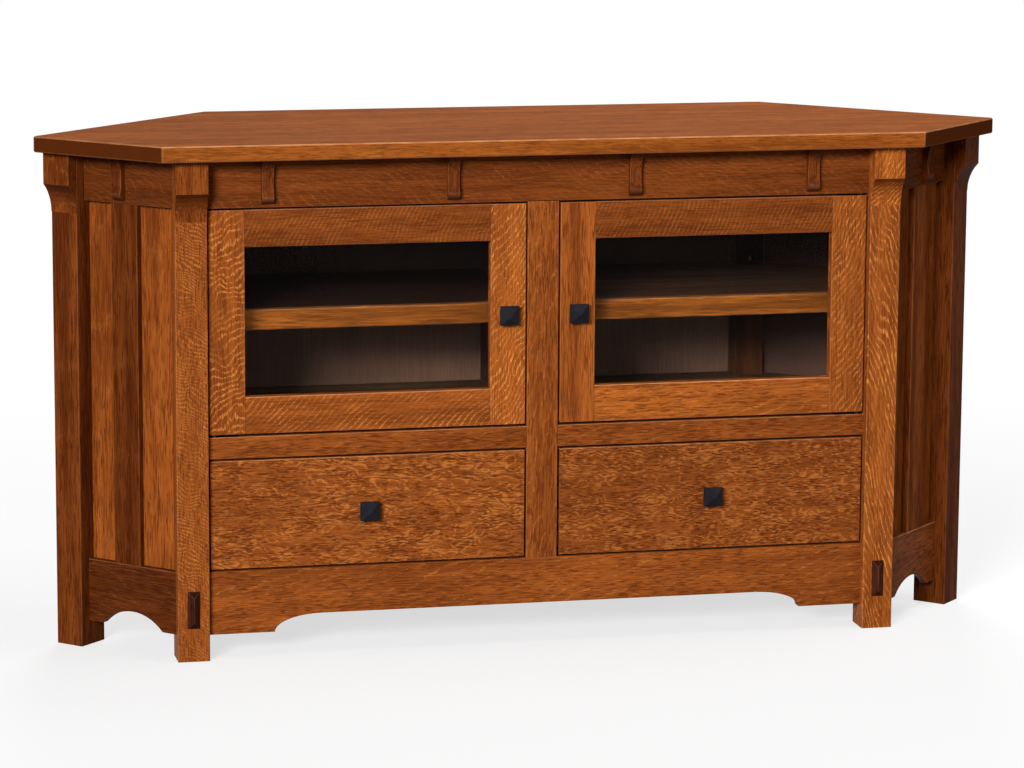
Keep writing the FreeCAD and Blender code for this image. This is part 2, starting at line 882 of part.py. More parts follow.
def tails():
    """The dovetails on the front end of a drawer side, in the YZ plane, as outlines."""
    low, high = drawer_side_z()
    pitch = (high - low) / dovetail_count
    outlines = []
    for n in range(dovetail_count):
        middle = low + pitch * n + pitch / 2
        narrow, wide = pitch * dovetail_narrow_share / 2, pitch * dovetail_wide_share / 2
        tip = face_back - dovetail_length
        outlines.append([(face_back, middle - narrow), (tip, middle - wide), (tip, middle + wide),
                         (face_back, middle + narrow)])
    return outlines


def bottom_z():
    low = drawer_side_z()[0] + drawer_bottom_rise
    return (low, low + drawer_bottom_thickness)


def drawer_bottom():
    x = drawer_x()
    inside = (x[0] + drawer_side_thickness, x[1] - drawer_side_thickness)
    rear = drawer_rear() - drawer_back_inset - drawer_back_thickness
    return box(grown(inside, drawer_groove), (face_back - drawer_groove, rear), bottom_z())


def drawer_back():
    """The back board, housed in the two sides, down to the underside of the bottom."""
    x = drawer_x()
    inside = (x[0] + drawer_side_thickness, x[1] - drawer_side_thickness)
    rear = drawer_rear() - drawer_back_inset
    z = (bottom_z()[0], drawer_side_z()[1])
    return box(grown(inside, drawer_back_housing), (rear - drawer_back_thickness, rear), z)


def drawer_sides():
    sides = []
    x = drawer_x()
    for low, high in [(x[0], x[0] + drawer_side_thickness), (x[1] - drawer_side_thickness, x[1])]:
        board = box((low, high), (face_back, drawer_rear()), drawer_side_z())
        prongs = []
        for outline in tails():
            corners = [Vector(low, y, z) for y, z in outline]
            face = Part.Face(Part.makePolygon(corners + corners[:1]))
            prongs.append(face.extrude(Vector(high - low, 0, 0)))
        joined = board.multiFuse(prongs).removeSplitter()
        sides.append(cut_all(joined, [drawer_bottom(), drawer_back()]))
    return sides


def drawer_front():
    """The drawer's front, cut for the dovetails, the bottom and the knob's screw."""
    z = (drawer_opening_bottom + drawer_gap_edge, mid_rail_bottom - drawer_gap_edge)
    board = box(drawer_x(), (face_front, face_back), z)
    return cut_all(board, drawer_sides() + [drawer_bottom(), knob_hole(drawer_knob_place())])


def runners():
    """Two angled strips on the deck: a ledge under each side of the drawer and a guide beside it."""
    x = drawer_x()
    low = drawer_opening_bottom
    ledge_z = (low, low + runner_ledge_thickness)
    guide_z = (low, low + runner_ledge_thickness + runner_guide_height)
    rear = drawer_rear() + runner_overhang
    inner_y = (face_back, rear)
    outer_y = (post_back, rear)
    inner_ledge = box((divider_half, x[0] + runner_ledge_width), inner_y, ledge_z)
    inner_guide = box((divider_half, x[0] - runner_gap), inner_y, guide_z)
    outer_ledge = box((x[1] - runner_ledge_width, x[1] + runner_guide_thickness), outer_y, ledge_z)
    outer_guide = box((x[1] + runner_gap, x[1] + runner_guide_thickness), outer_y, guide_z)
    return [inner_ledge.fuse(inner_guide).removeSplitter(), outer_ledge.fuse(outer_guide).removeSplitter()]


def save(name, shapes):
    """Write one node's solids to its own file."""
    solids = []
    for shape in shapes:
        solids.extend(shape.Solids)
    whole = solids[0] if len(solids) == 1 else Part.makeCompound(solids)
    whole.exportStep("parts/" + name + ".step")


def save_pair(name, shapes):
    """Write a right-hand node and its left-hand twin."""
    save(name + "_right", shapes)
    save(name + "_left", [mirrored(s) for s in shapes])


def save_posts():
    """The posts, cut for every board that is tenoned or let into them."""
    front_boards = [front_frieze(), front_apron(), mid_rail(), plug()]
    save_pair("front_post", [cut_all(front_post(), front_boards)])
    side_boards = [side_frieze(), side_apron(), wall_panel()]
    save_pair("wall_post", [cut_all(wall_post(), side_boards)])
    save("rear_posts", twins([cut_all(rear_post(), [wall_panel(), rear_panel()] + pin_holes())]))
    save("post_brackets", twins([front_bracket(), wall_bracket()]))


def save_front():
    stile = centre_stile()
    recesses = twins(hinge_recesses())
    save("front_frieze", [cut_all(front_frieze(), [stile] + recesses)])
    save("front_apron", [front_apron().cut(stile)])
    save("centre_stile", [cut_all(stile, twins([mid_rail()]))])
    save("mid_rails", twins([cut_all(mid_rail(), recesses)]))
    centres = [post_inner * corbel_inner_share, post_inner * corbel_outer_share]
    save("front_corbels", twins([front_corbel(x) for x in centres]))
    save("tenon_plugs", twins([plug()]))


def save_canted_sides():
    save_pair("side_frieze", [side_frieze()])
    save_pair("side_apron", [side_apron()])
    save("side_stiles", twins([cut_all(s, pin_holes()) for s in side_stiles()]))
    save("side_rails", twins(side_rails()))
    save("side_panels", twins([side_panel()]))
    save("side_corbels", twins([side_corbel()]))


def save_case():
    save("top_slab", [top_slab()])
    save("bottom_deck", [deck(bottom_deck_underside)])
    save("middle_deck", [deck(middle_deck_underside)])
    save("lower_divider", [lower_divider()])
    save("upper_divider", [cut_all(upper_divider(), twins(pin_holes()))])
    save("rear_panel", [rear_panel()])
    save("wall_panels", twins([wall_panel()]))
    save("top_cleats", twins(cleats()))
    save_pair("shelf", [shelf()])
    save("shelf_edges", twins([shelf_edge()]))
    save("shelf_pins", twins(shelf_pins()))
    save("drawer_runners", twins(runners()))
    save("frame_hinge_leaves", twins(frame_leaves()))
    save("magnet_catches", twins([catch()]))


def save_doors():
    save_pair("door_stiles", door_stiles())
    save_pair("door_rails", door_rails())
    save_pair("door_glass", [door_glass()])
    save_pair("glazing_beads", glazing_beads())
    save_pair("door_knob", knob(door_knob_place()))
    save_pair("door_hinge_leaves", door_leaves())
    save_pair("strike_plate", [strike()])


def save_drawers():
    save_pair("drawer_front", [drawer_front()])
    save_pair("drawer_sides", drawer_sides())
    save_pair("drawer_back", [drawer_back()])
    save_pair("drawer_bottom", [drawer_bottom()])
    save_pair("drawer_knob", knob(drawer_knob_place()))


os.makedirs("parts", exist_ok=True)
save_case()
save_posts()
save_front()
save_canted_sides()
save_doors()
save_drawers()
print("pin of the right-hand hinge", hinge_axis())
print("rear of the drawers", drawer_rear())
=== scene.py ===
import itertools
import json
import math
from collections import namedtuple
from functools import cache

import bmesh
import bpy
from bpy.props import FloatProperty, FloatVectorProperty, PointerProperty
from mathutils import Matrix, Vector
from mathutils.bvhtree import BVHTree


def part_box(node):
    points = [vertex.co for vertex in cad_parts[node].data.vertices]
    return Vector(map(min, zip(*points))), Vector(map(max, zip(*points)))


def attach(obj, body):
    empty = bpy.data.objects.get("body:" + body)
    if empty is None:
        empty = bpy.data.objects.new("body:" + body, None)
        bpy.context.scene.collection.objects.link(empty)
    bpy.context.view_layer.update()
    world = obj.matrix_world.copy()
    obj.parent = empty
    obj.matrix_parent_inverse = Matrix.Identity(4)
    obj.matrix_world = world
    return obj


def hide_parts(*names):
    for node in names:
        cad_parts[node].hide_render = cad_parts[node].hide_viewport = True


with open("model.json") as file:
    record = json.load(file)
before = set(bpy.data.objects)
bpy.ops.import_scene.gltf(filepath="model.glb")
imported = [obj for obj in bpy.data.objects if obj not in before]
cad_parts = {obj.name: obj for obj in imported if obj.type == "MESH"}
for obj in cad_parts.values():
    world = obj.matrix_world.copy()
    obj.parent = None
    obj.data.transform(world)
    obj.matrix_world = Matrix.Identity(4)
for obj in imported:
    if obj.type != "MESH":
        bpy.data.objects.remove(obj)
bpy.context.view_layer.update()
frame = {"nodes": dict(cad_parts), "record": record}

bl_info = {
    "name": "Corner Cabinet Finish",
    "version": (1, 0, 0),
    "blender": (4, 5, 0),
    "location": "3D View > Sidebar > Cabinet",
    "description": "Finishes a corner cabinet in stained quartersawn oak, with glass doors and black knobs",
    "category": "Object",
}

ONE_PLANK = 9.0  # metres, wider than any piece

# The figure of a board: the way its ray flecks run and how bold they are.
# angle: from the grain to the flecks, in degrees. spacing: a share of the usual spacing. width: half a
# fleck's width, as a share of the spacing. wave: how far the flecks wander, in spacings. reach: over what
# width of board they do, in metres. stretch: how much further that goes along the grain. rough: how ragged
# they are. fleck, pores, streak: how strongly flecks, dark pores and broad streaks show. dash: length of a
# pore, in metres. planks: width of the glued boards, in metres.
Figure = namedtuple("Figure", "angle spacing width wave reach stretch rough fleck pores streak dash planks",
                    defaults=(ONE_PLANK,))
FIGURES = {
    "top": Figure(14, 1.6, 0.08, 2.4, 0.05, 4, 0.6, 0.14, 0.62, 0.38, 0.02, 0.115),
    "frieze": Figure(36, 0.9, 0.09, 2.2, 0.05, 2.5, 0.8, 0.24, 0.55, 0.42, 0.02),
    "curly": Figure(-24, 0.8, 0.09, 2.4, 0.04, 2.0, 0.4, 0.45, 0.5, 0.3, 0.02),
    "curved": Figure(-66, 0.62, 0.11, 1.8, 0.07, 4, 0.5, 0.52, 0.55, 0.4, 0.02),
    "slanted": Figure(-42, 0.72, 0.12, 1.8, 0.06, 3, 0.6, 0.62, 0.5, 0.4, 0.02),
    "flame": Figure(-64, 0.92, 0.165, 3.4, 0.045, 1.6, 0.9, 0.78, 0.6, 0.4, 0.02),
    "leaning": Figure(-34, 0.72, 0.14, 2.8, 0.05, 2.4, 0.9, 0.75, 0.6, 0.3, 0.02),
    "tongues": Figure(19, 0.64, 0.15, 3.0, 0.05, 3.0, 0.6, 0.75, 0.55, 0.4, 0.02),
    "ripple": Figure(66, 0.5, 0.155, 3.4, 0.045, 1.2, 1.0, 0.52, 0.7, 0.3, 0.015),
    "lace": Figure(12, 1.3, 0.26, 3.4, 0.022, 2.0, 1.2, 0.6, 0.9, 0.2, 0.012),
    "plain": Figure(-18, 1.2, 0.08, 1.6, 0.05, 2, 0.7, 0.28, 0.85, 0.4, 0.02),
    "straight": Figure(6, 1.3, 0.07, 1.2, 0.1, 4, 0.6, 0.12, 0.9, 0.6, 0.03),
    "planked": Figure(12, 1.8, 0.06, 1.5, 0.12, 3, 0.4, 0.15, 0.6, 0.7, 0.03, 0.11),
    "veneer": Figure(10, 2.2, 0.05, 1.5, 0.12, 3, 0.4, 0.03, 0.15, 0.12, 0.03),
}

# A node of boards: the way the grain runs, its finish, its figure and how light each board is, from left
# to right and from the floor up.
Boards = namedtuple("Boards", "grain finish figures tones", defaults=((1.0,),))
UPRIGHT = "up"
ACROSS = "across"
CANTED = "canted"
BACKWARD = "backward"

TOP = {"top_slab": Boards(ACROSS, "oak_top", ["top"], [0.95])}
POSTS = {
    "front_post_left": Boards(UPRIGHT, "oak", ["ripple"], [0.97]),
    "front_post_right": Boards(UPRIGHT, "oak", ["tongues"], [1.1]),
    "wall_post_left": Boards(UPRIGHT, "wall_oak", ["straight"], [0.57]),
    "wall_post_right": Boards(UPRIGHT, "wall_oak", ["straight"], [0.46]),
    "rear_posts": Boards(UPRIGHT, "rear_oak", ["straight"], [0.6]),
}
BRACKETS = {"post_brackets": Boards(UPRIGHT, "wall_oak", ["plain", "plain", "leaning", "plain"],
                                    [0.6, 0.78, 1.27, 0.45])}
FRONT = {
    "front_frieze": Boards(ACROSS, "oak", ["frieze"], [0.64]),
    "front_apron": Boards(ACROSS, "oak", ["plain"], [1.07]),
    "centre_stile": Boards(UPRIGHT, "oak", ["plain"], [1.1]),
    "mid_rails": Boards(ACROSS, "oak", ["plain"], [0.95, 0.95]),
    "front_corbels": Boards(UPRIGHT, "oak", ["straight"], [0.7]),
}
SIDES = {
    "side_frieze_left": Boards(CANTED, "oak", ["curly"], [0.42]),
    "side_frieze_right": Boards(CANTED, "wall_oak", ["frieze"], [0.55]),
    "side_apron_left": Boards(CANTED, "oak", ["plain"], [0.37]),
    "side_apron_right": Boards(CANTED, "oak", ["plain"], [0.7]),
    "side_stiles": Boards(UPRIGHT, "wall_oak", ["straight"], [0.96, 0.93, 0.86, 0.84]),
    "side_rails": Boards(CANTED, "oak", ["straight"], [0.9]),
    "side_panels": Boards(UPRIGHT, "wall_oak", ["straight"], [0.44, 0.72]),
    "side_corbels": Boards(UPRIGHT, "wall_oak", ["straight"], [0.5]),
}
DOORS = {
    "door_stiles_left": Boards(UPRIGHT, "oak", ["flame", "leaning"], [1.13, 1.37]),
    "door_stiles_right": Boards(UPRIGHT, "oak", ["straight", "leaning"], [1.15, 1.0]),
    "door_rails_left": Boards(ACROSS, "oak", ["slanted", "curved"], [1.03, 0.7]),
    "door_rails_right": Boards(ACROSS, "oak", ["plain", "curved"], [1.33, 0.7]),
}
DRAWERS = {
    "drawer_front_left": Boards(ACROSS, "oak", ["lace"], [0.88]),
    "drawer_front_right": Boards(ACROSS, "oak", ["lace"], [0.77]),
}
DRAWER_BOX = {
    "sides": Boards(BACKWARD, "drawer_wood", ["straight"]),
    "back": Boards(ACROSS, "drawer_wood", ["straight"]),
    "bottom": Boards(ACROSS, "plywood", ["planked"], [0.9]),
}
for part, boards in DRAWER_BOX.items():
    for side in ("left", "right"):
        DRAWERS["drawer_" + part + "_" + side] = boards
CASE = {
    "bottom_deck": Boards(ACROSS, "case_oak", ["planked"]),
    "middle_deck": Boards(ACROSS, "case_oak", ["planked"], [1.8]),
    "lower_divider": Boards(BACKWARD, "case_oak", ["planked"]),
    "upper_divider": Boards(BACKWARD, "case_oak", ["planked"]),
    "rear_panel": Boards(UPRIGHT, "plywood", ["veneer"]),
    "wall_panels": Boards(UPRIGHT, "plywood", ["veneer"], [0.7]),
    "top_cleats": Boards(ACROSS, "case_oak", ["straight"]),
    "shelf_left": Boards(ACROSS, "case_oak", ["planked"], [0.42]),
    "shelf_right": Boards(ACROSS, "case_oak", ["planked"], [1.1]),
    "shelf_edges": Boards(ACROSS, "edge_oak", ["straight"], [0.63, 0.56]),
    "drawer_runners": Boards(BACKWARD, "case_oak", ["straight"]),
}
PLUGS = {"tenon_plugs": Boards(UPRIGHT, "dark_plug_wood", ["straight"], [1.0, 1.25])}


class OakSettings(bpy.types.PropertyGroup):
    """Stain, figure and arrises of the oak."""
    dark: FloatVectorProperty(
        name="Dark stain", description="Colour of the pores and dark streaks", subtype="COLOR", min=0,
        max=1, default=(0.105, 0.022, 0.004))
    middle: FloatVectorProperty(
        name="Stain", description="Colour of the plain wood", subtype="COLOR", min=0, max=1,
        default=(0.312, 0.08, 0.0132))
    light: FloatVectorProperty(
        name="Fleck", description="Colour of the ray flecks", subtype="COLOR", min=0, max=1,
        default=(0.6, 0.207, 0.043))
    # Colour of rubbed arrises, with a painted highlight on those that face up.
    worn: FloatVectorProperty(
        name="Worn stain", description="Colour where an arris wears the stain thin", subtype="COLOR", min=0,
        max=1, default=(0.62, 0.29, 0.13))
    spacing: FloatProperty(
        name="Fleck spacing", description="Usual distance between ray flecks", unit="LENGTH", min=0.001,
        default=0.011)
    arris: FloatProperty(
        name="Arris", description="Radius of the eased arrises", unit="LENGTH", min=0, default=0.0013)
    chamfer_arris: FloatProperty(
        name="Chamfer arris", description="Easing beside an edge that has a chamfer", unit="LENGTH", min=0,
        default=0.0004)


class FittingSettings(bpy.types.PropertyGroup):
    """Glass, knobs and metal fittings."""
    glass: FloatVectorProperty(
        name="Glass", description="Tint of the panes", subtype="COLOR", min=0, max=1,
        default=(0.96, 0.95, 0.94))
    iron: FloatVectorProperty(
        name="Iron", description="Colour of the knobs", subtype="COLOR", min=0, max=1,
        default=(0.0165, 0.016, 0.0205))
    brass: FloatVectorProperty(
        name="Brass", description="Colour of the hinge leaves", subtype="COLOR", min=0, max=1,
        default=(0.026, 0.016, 0.007))
    steel: FloatVectorProperty(
        name="Steel", description="Colour of the pins, screws and strike plates", subtype="COLOR", min=0,
        max=1, default=(0.5, 0.5, 0.51))
    plastic: FloatVectorProperty(
        name="Catch", description="Colour of the catches", subtype="COLOR", min=0, max=1,
        default=(0.09, 0.045, 0.022))
    neck_width: FloatProperty(
        name="Knob neck", description="Width of the square neck of a knob", unit="LENGTH", min=0,
        default=0.015)
    neck_length: FloatProperty(
        name="Neck length", description="Length of the neck of a knob", unit="LENGTH", min=0, default=0.009)
    rim: FloatProperty(
        name="Knob rim", description="Height of the straight rim under the pyramid", unit="LENGTH", min=0,
        default=0.004)
    tip: FloatProperty(
        name="Knob tip", description="Width of the flat tip of the pyramid", unit="LENGTH", min=0,
        default=0.0015)
    edge: FloatProperty(
        name="Knob edge", description="Radius of the knob's edges", unit="LENGTH", min=0, default=0.0005)
    screw_head: FloatProperty(
        name="Screw head", description="Height of a knob screw's head", unit="LENGTH", min=0,
        default=0.0025)
    screw_width: FloatProperty(
        name="Screw width", description="Width of a knob screw's head", unit="LENGTH", min=0, default=0.009)


class StageSettings(bpy.types.PropertyGroup):
    """Camera, lamps and floor."""
    focal: FloatProperty(
        name="Focal length", description="Focal length in millimetres on a 36 mm sensor", min=1,
        default=131.51)
    camera_place: FloatVectorProperty(
        name="Camera", description="Where the camera stands", subtype="TRANSLATION",
        default=(-1.3486, -5.9241, 1.4954))
    yaw: FloatProperty(
        name="Yaw", description="Turn of the camera to the right", subtype="ANGLE",
        default=math.radians(12.7561))
    pitch: FloatProperty(
        name="Pitch", description="Downward tilt of the camera", subtype="ANGLE",
        default=math.radians(9.3195))
    roll: FloatProperty(
        name="Roll", description="Roll of the camera", subtype="ANGLE", default=math.radians(0.3369))
    shift: FloatProperty(name="Shift", description="Vertical shift of the picture", default=-0.0625)
    key: FloatProperty(
        name="Key lamp", description="Power of the large lamp on the left, in watts", min=0, default=1250)
    overhead: FloatProperty(
        name="Overhead lamp", description="Power of the lamp above, in watts", min=0, default=54)
    fill: FloatProperty(
        name="Fill lamp", description="Power of the lamp on the right, in watts", min=0, default=36)
    rear: FloatProperty(
        name="Rear lamp", description="Power of the lamp behind the cabinet, in watts", min=0, default=240)
    sky: FloatProperty(
        name="Room light", description="Strength of the light from all round", min=0, default=0.09)
    floor: FloatVectorProperty(
        name="Floor", description="Colour of the floor", subtype="COLOR", min=0, max=1,
        default=(0.86, 0.86, 0.86))
    floor_bounce: FloatVectorProperty(
        name="Floor bounce", description="Colour of the floor's light", subtype="COLOR", min=0, max=1,
        default=(0.2, 0.2, 0.2))
    floor_white: FloatProperty(
        name="Floor white", min=0, max=1, default=0.68,
        description="How far the floor by the cabinet is lifted to white")
    floor_near: FloatProperty(
        name="Floor fade start", unit="LENGTH", min=0, default=0.8,
        description="Distance at which the floor starts to fade to white")
    floor_far: FloatProperty(
        name="Floor fade end", description="Distance at which the floor is all white", unit="LENGTH", min=0,
        default=2.4)


def add(tree, kind, inputs=None, **settings):
    """A node with its settings, and with each input set to a value or linked to another node's output."""
    node = tree.nodes.new(kind)
    for name, value in settings.items():
        setattr(node, name, value)
    for name, value in (inputs or {}).items():
        if isinstance(value, bpy.types.NodeSocket):
            tree.links.new(value, node.inputs[name])
        else:
            node.inputs[name].default_value = value
    return node


def vector(tree, x, y, z):
    """A vector from its three parts."""
    return add(tree, "ShaderNodeCombineXYZ", {"X": x, "Y": y, "Z": z}).outputs[0]


def scaled(tree, first, second):
    """One vector or colour times another, part by part."""
    return add(tree, "ShaderNodeVectorMath", {0: first, 1: second}, operation="MULTIPLY").outputs[0]


def maths(tree, operation, *values):
    """The result of a Math node."""
    return add(tree, "ShaderNodeMath", dict(enumerate(values)), operation=operation).outputs[0]


def times(tree, first, second):
    """One value times another."""
    return maths(tree, "MULTIPLY", first, second)


def noise(tree, place, scale, detail, distortion=0.0):
    """A noise from 0 to 1 on a vector."""
    inputs = {"Vector": place, "Scale": scale, "Detail": detail, "Distortion": distortion}
    return add(tree, "ShaderNodeTexNoise", inputs).outputs["Fac"]


def ramp(tree, value, start, end, low=0.0, high=1.0):
    """A smooth step from low to high as the value goes from start to end."""
    inputs = {"Value": value, "From Min": start, "From Max": end, "To Min": low, "To Max": high}
    return add(tree, "ShaderNodeMapRange", inputs, interpolation_type="SMOOTHSTEP").outputs["Result"]


# A Mix node's sockets for colours, by number, because some of its sockets share a name.
MIX_SHARE, MIX_FIRST, MIX_SECOND, MIX_RESULT = 0, 6, 7, 2


def blended(tree, share, first, second):
    """A colour between two others."""
    inputs = {MIX_SHARE: share, MIX_FIRST: first, MIX_SECOND: second}
    return add(tree, "ShaderNodeMix", inputs, data_type="RGBA").outputs[MIX_RESULT]


# A noise in the wood: how often it changes in a metre along and across the grain, its detail and distortion,
# and its values between which the effect goes from low to high.
Pattern = namedtuple("Pattern", "along across detail distortion start end low high",
                     defaults=(0.0, 0.0, 1.0, 0.0, 1.0))
STREAKS = Pattern(2.2, 42.0, 3.0, 0.3, 0.36, 0.64)
FIBRES = Pattern(16.0, 520.0, 3.0, 0.0, 0.4, 0.62)
FLECK_RAGS = Pattern(90.0, 380.0, 3.0)
FLECK_SWELL = Pattern(35.0, 60.0, 2.0, 0.0, 0.3, 0.7, 0.35, 1.8)
FLECK_FADE = Pattern(9.0, 24.0, 2.0, 0.0, 0.32, 0.55, 0.25, 1.0)
FLECK_BREAKS = Pattern(60.0, 330.0, 2.0, 0.0, 0.36, 0.54, 0.3, 1.0)
PORE_CROWDS = Pattern(16.0, 55.0, 2.0, 0.0, 0.3, 0.7, 0.56, 0.45)
WEAR_AND_HIGHLIGHT_PATCHES = Pattern(40.0, 40.0, 3.0, 0.0, 0.3, 0.7, 0.45, 1.0)


def pattern_noise(tree, grain, pattern):
    """The noise of a pattern on the grain."""
    place = scaled(tree, grain, (pattern.along, pattern.across, pattern.across))
    return noise(tree, place, 1.0, pattern.detail, pattern.distortion)


def patterned(tree, grain, pattern):
    """The effect of a pattern on the grain."""
    value = pattern_noise(tree, grain, pattern)
    return ramp(tree, value, pattern.start, pattern.end, pattern.low, pattern.high)


VALUE = "NodeSocketFloat"
COLOUR = "NodeSocketColor"
VECTOR = "NodeSocketVector"


def group(name, inputs, outputs):
    """An empty node group with named sockets, and the sockets that its inside reads and sets."""
    tree = bpy.data.node_groups.new(name, "ShaderNodeTree")
    for way, sockets in (("INPUT", inputs), ("OUTPUT", outputs)):
        for label, kind in sockets:
            tree.interface.new_socket(label, in_out=way, socket_type=kind)
    return tree, tree.nodes.new("NodeGroupInput").outputs, tree.nodes.new("NodeGroupOutput").inputs


PLANK_SHIFT_ALONG = 3.0  # the most that a glued board's grain shifts, in metres
PLANK_SHIFT_THROUGH = 2.0
PLANK_DARKEST = 0.91  # lightness of the darkest board
PLANK_SPREAD = 0.18  # how much lighter another may be


def planks_group():
    """Boards glued side by side: each shifts the grain and has its own lightness."""
    tree, given, out = group(
        "glued_planks", [("Grain", VECTOR), ("Planks", VALUE)], [("Grain", VECTOR), ("Lightness", VALUE)])
    across = add(tree, "ShaderNodeSeparateXYZ", {0: given["Grain"]}).outputs["Y"]
    number = maths(tree, "FLOOR", maths(tree, "DIVIDE", across, given["Planks"]))
    own = add(tree, "ShaderNodeTexWhiteNoise", {"W": number}, noise_dimensions="1D").outputs["Value"]
    step = vector(tree, times(tree, own, PLANK_SHIFT_ALONG), 0.0, times(tree, own, PLANK_SHIFT_THROUGH))
    moved = add(tree, "ShaderNodeVectorMath", {0: given["Grain"], 1: step}, operation="ADD")
    tree.links.new(moved.outputs[0], out["Grain"])
    tree.links.new(maths(tree, "MULTIPLY_ADD", own, PLANK_SPREAD, PLANK_DARKEST), out["Lightness"])
    return tree


FLECK_INPUTS = ("Angle", "Spacing", "Width", "Wave", "Reach", "Stretch", "Rough")
WANDER_DETAIL = 1.5
WANDER_DISTORTION = 0.2
WANDER_RANGE = 2.0  # the most that a fleck wanders, in waves
FLECK_CORE = 0.4  # the share of a fleck's width that has its full colour


def fleck_group():
    """Ray flecks: thin light lines at an angle to the grain, which wander, swell and fade."""
    tree, given, out = group(
        "ray_flecks", [("Grain", VECTOR)] + [(label, VALUE) for label in FLECK_INPUTS], [("Fleck", VALUE)])
    grain = given["Grain"]
    parts = add(tree, "ShaderNodeSeparateXYZ", {0: grain}).outputs
    side = times(tree, maths(tree, "ADD", parts["Y"], parts["Z"]), maths(tree, "COSINE", given["Angle"]))
    run = maths(tree, "MULTIPLY_ADD", parts["X"], maths(tree, "SINE", given["Angle"]), side)
    bands = maths(tree, "DIVIDE", run, given["Spacing"])
    across = maths(tree, "DIVIDE", 1.0, given["Reach"])
    along = maths(tree, "DIVIDE", across, given["Stretch"])
    place = scaled(tree, grain, vector(tree, along, across, across))
    wander = times(tree, noise(tree, place, 1.0, WANDER_DETAIL, WANDER_DISTORTION), WANDER_RANGE)
    bands = maths(tree, "MULTIPLY_ADD", wander, given["Wave"], bands)
    bands = maths(tree, "MULTIPLY_ADD", pattern_noise(tree, grain, FLECK_RAGS), given["Rough"], bands)
    distance = maths(tree, "PINGPONG", bands, 0.5)
    width = times(tree, given["Width"], patterned(tree, grain, FLECK_SWELL))
    fleck = ramp(tree, distance, times(tree, width, FLECK_CORE), width, 1.0, 0.0)
    shown = times(tree, patterned(tree, grain, FLECK_FADE), patterned(tree, grain, FLECK_BREAKS))
    tree.links.new(times(tree, fleck, shown), out["Fleck"])
    return tree


PORES_ACROSS = 640.0  # changes in a metre across the grain
PORE_DETAIL = 2.0
PORE_DISTORTION = 0.3
PORE_EDGE = 0.12  # how softly a pore ends


def pore_group():
    """Pores: short dark dashes along the grain, crowded in some places and sparse in others."""
    tree, given, out = group("dark_pores", [("Grain", VECTOR), ("Dash", VALUE)], [("Pores", VALUE)])
    along = maths(tree, "DIVIDE", 1.0, given["Dash"])
    place = scaled(tree, given["Grain"], vector(tree, along, PORES_ACROSS, PORES_ACROSS))
    dashes = noise(tree, place, 1.0, PORE_DETAIL, PORE_DISTORTION)
    start = patterned(tree, given["Grain"], PORE_CROWDS)
    tree.links.new(ramp(tree, dashes, start, maths(tree, "ADD", start, PORE_EDGE)), out["Pores"])
    return tree


# The stain that an arris goes to is partly rubbed stain and partly a painted highlight.
MOST_WEAR_AND_HIGHLIGHT = 0.85  # how far an arris goes to the worn stain


def wear_and_highlight_group():
    """Rubbed arrises and painted highlights: where an arris has lost its stain and, on arrises that face up,
    a painted highlight, unevenly along it.
    """
    tree, given, out = group("arris_wear", [("Grain", VECTOR), ("Arris", VALUE)], [("Wear", VALUE)])
    worn = times(tree, given["Arris"], MOST_WEAR_AND_HIGHLIGHT)
    tree.links.new(times(tree, worn, patterned(tree, given["Grain"], WEAR_AND_HIGHLIGHT_PATCHES)), out["Wear"])
    return tree


STAINS = ("Dark", "Middle", "Light", "Worn")
FIGURE_INPUTS = FLECK_INPUTS + ("Fleck", "Pores", "Streak", "Dash", "Planks")
FIBRE_SHADE = 0.34  # how far fibres go to the dark stain
END_STAIN = 0.9  # how far end grain goes to the dark stain
END_SHADE = 0.45  # and how much darker it is than that
GREEN_FALL = 0.15  # how much more of its green than of its red a dark board loses
PLAIN_ROUGHNESS = 0.38
FIBRE_ROUGHNESS = 0.16
FLECK_GLOSS = 0.1
FIBRE_RISE = 0.5
PORE_DEPTH = 0.7


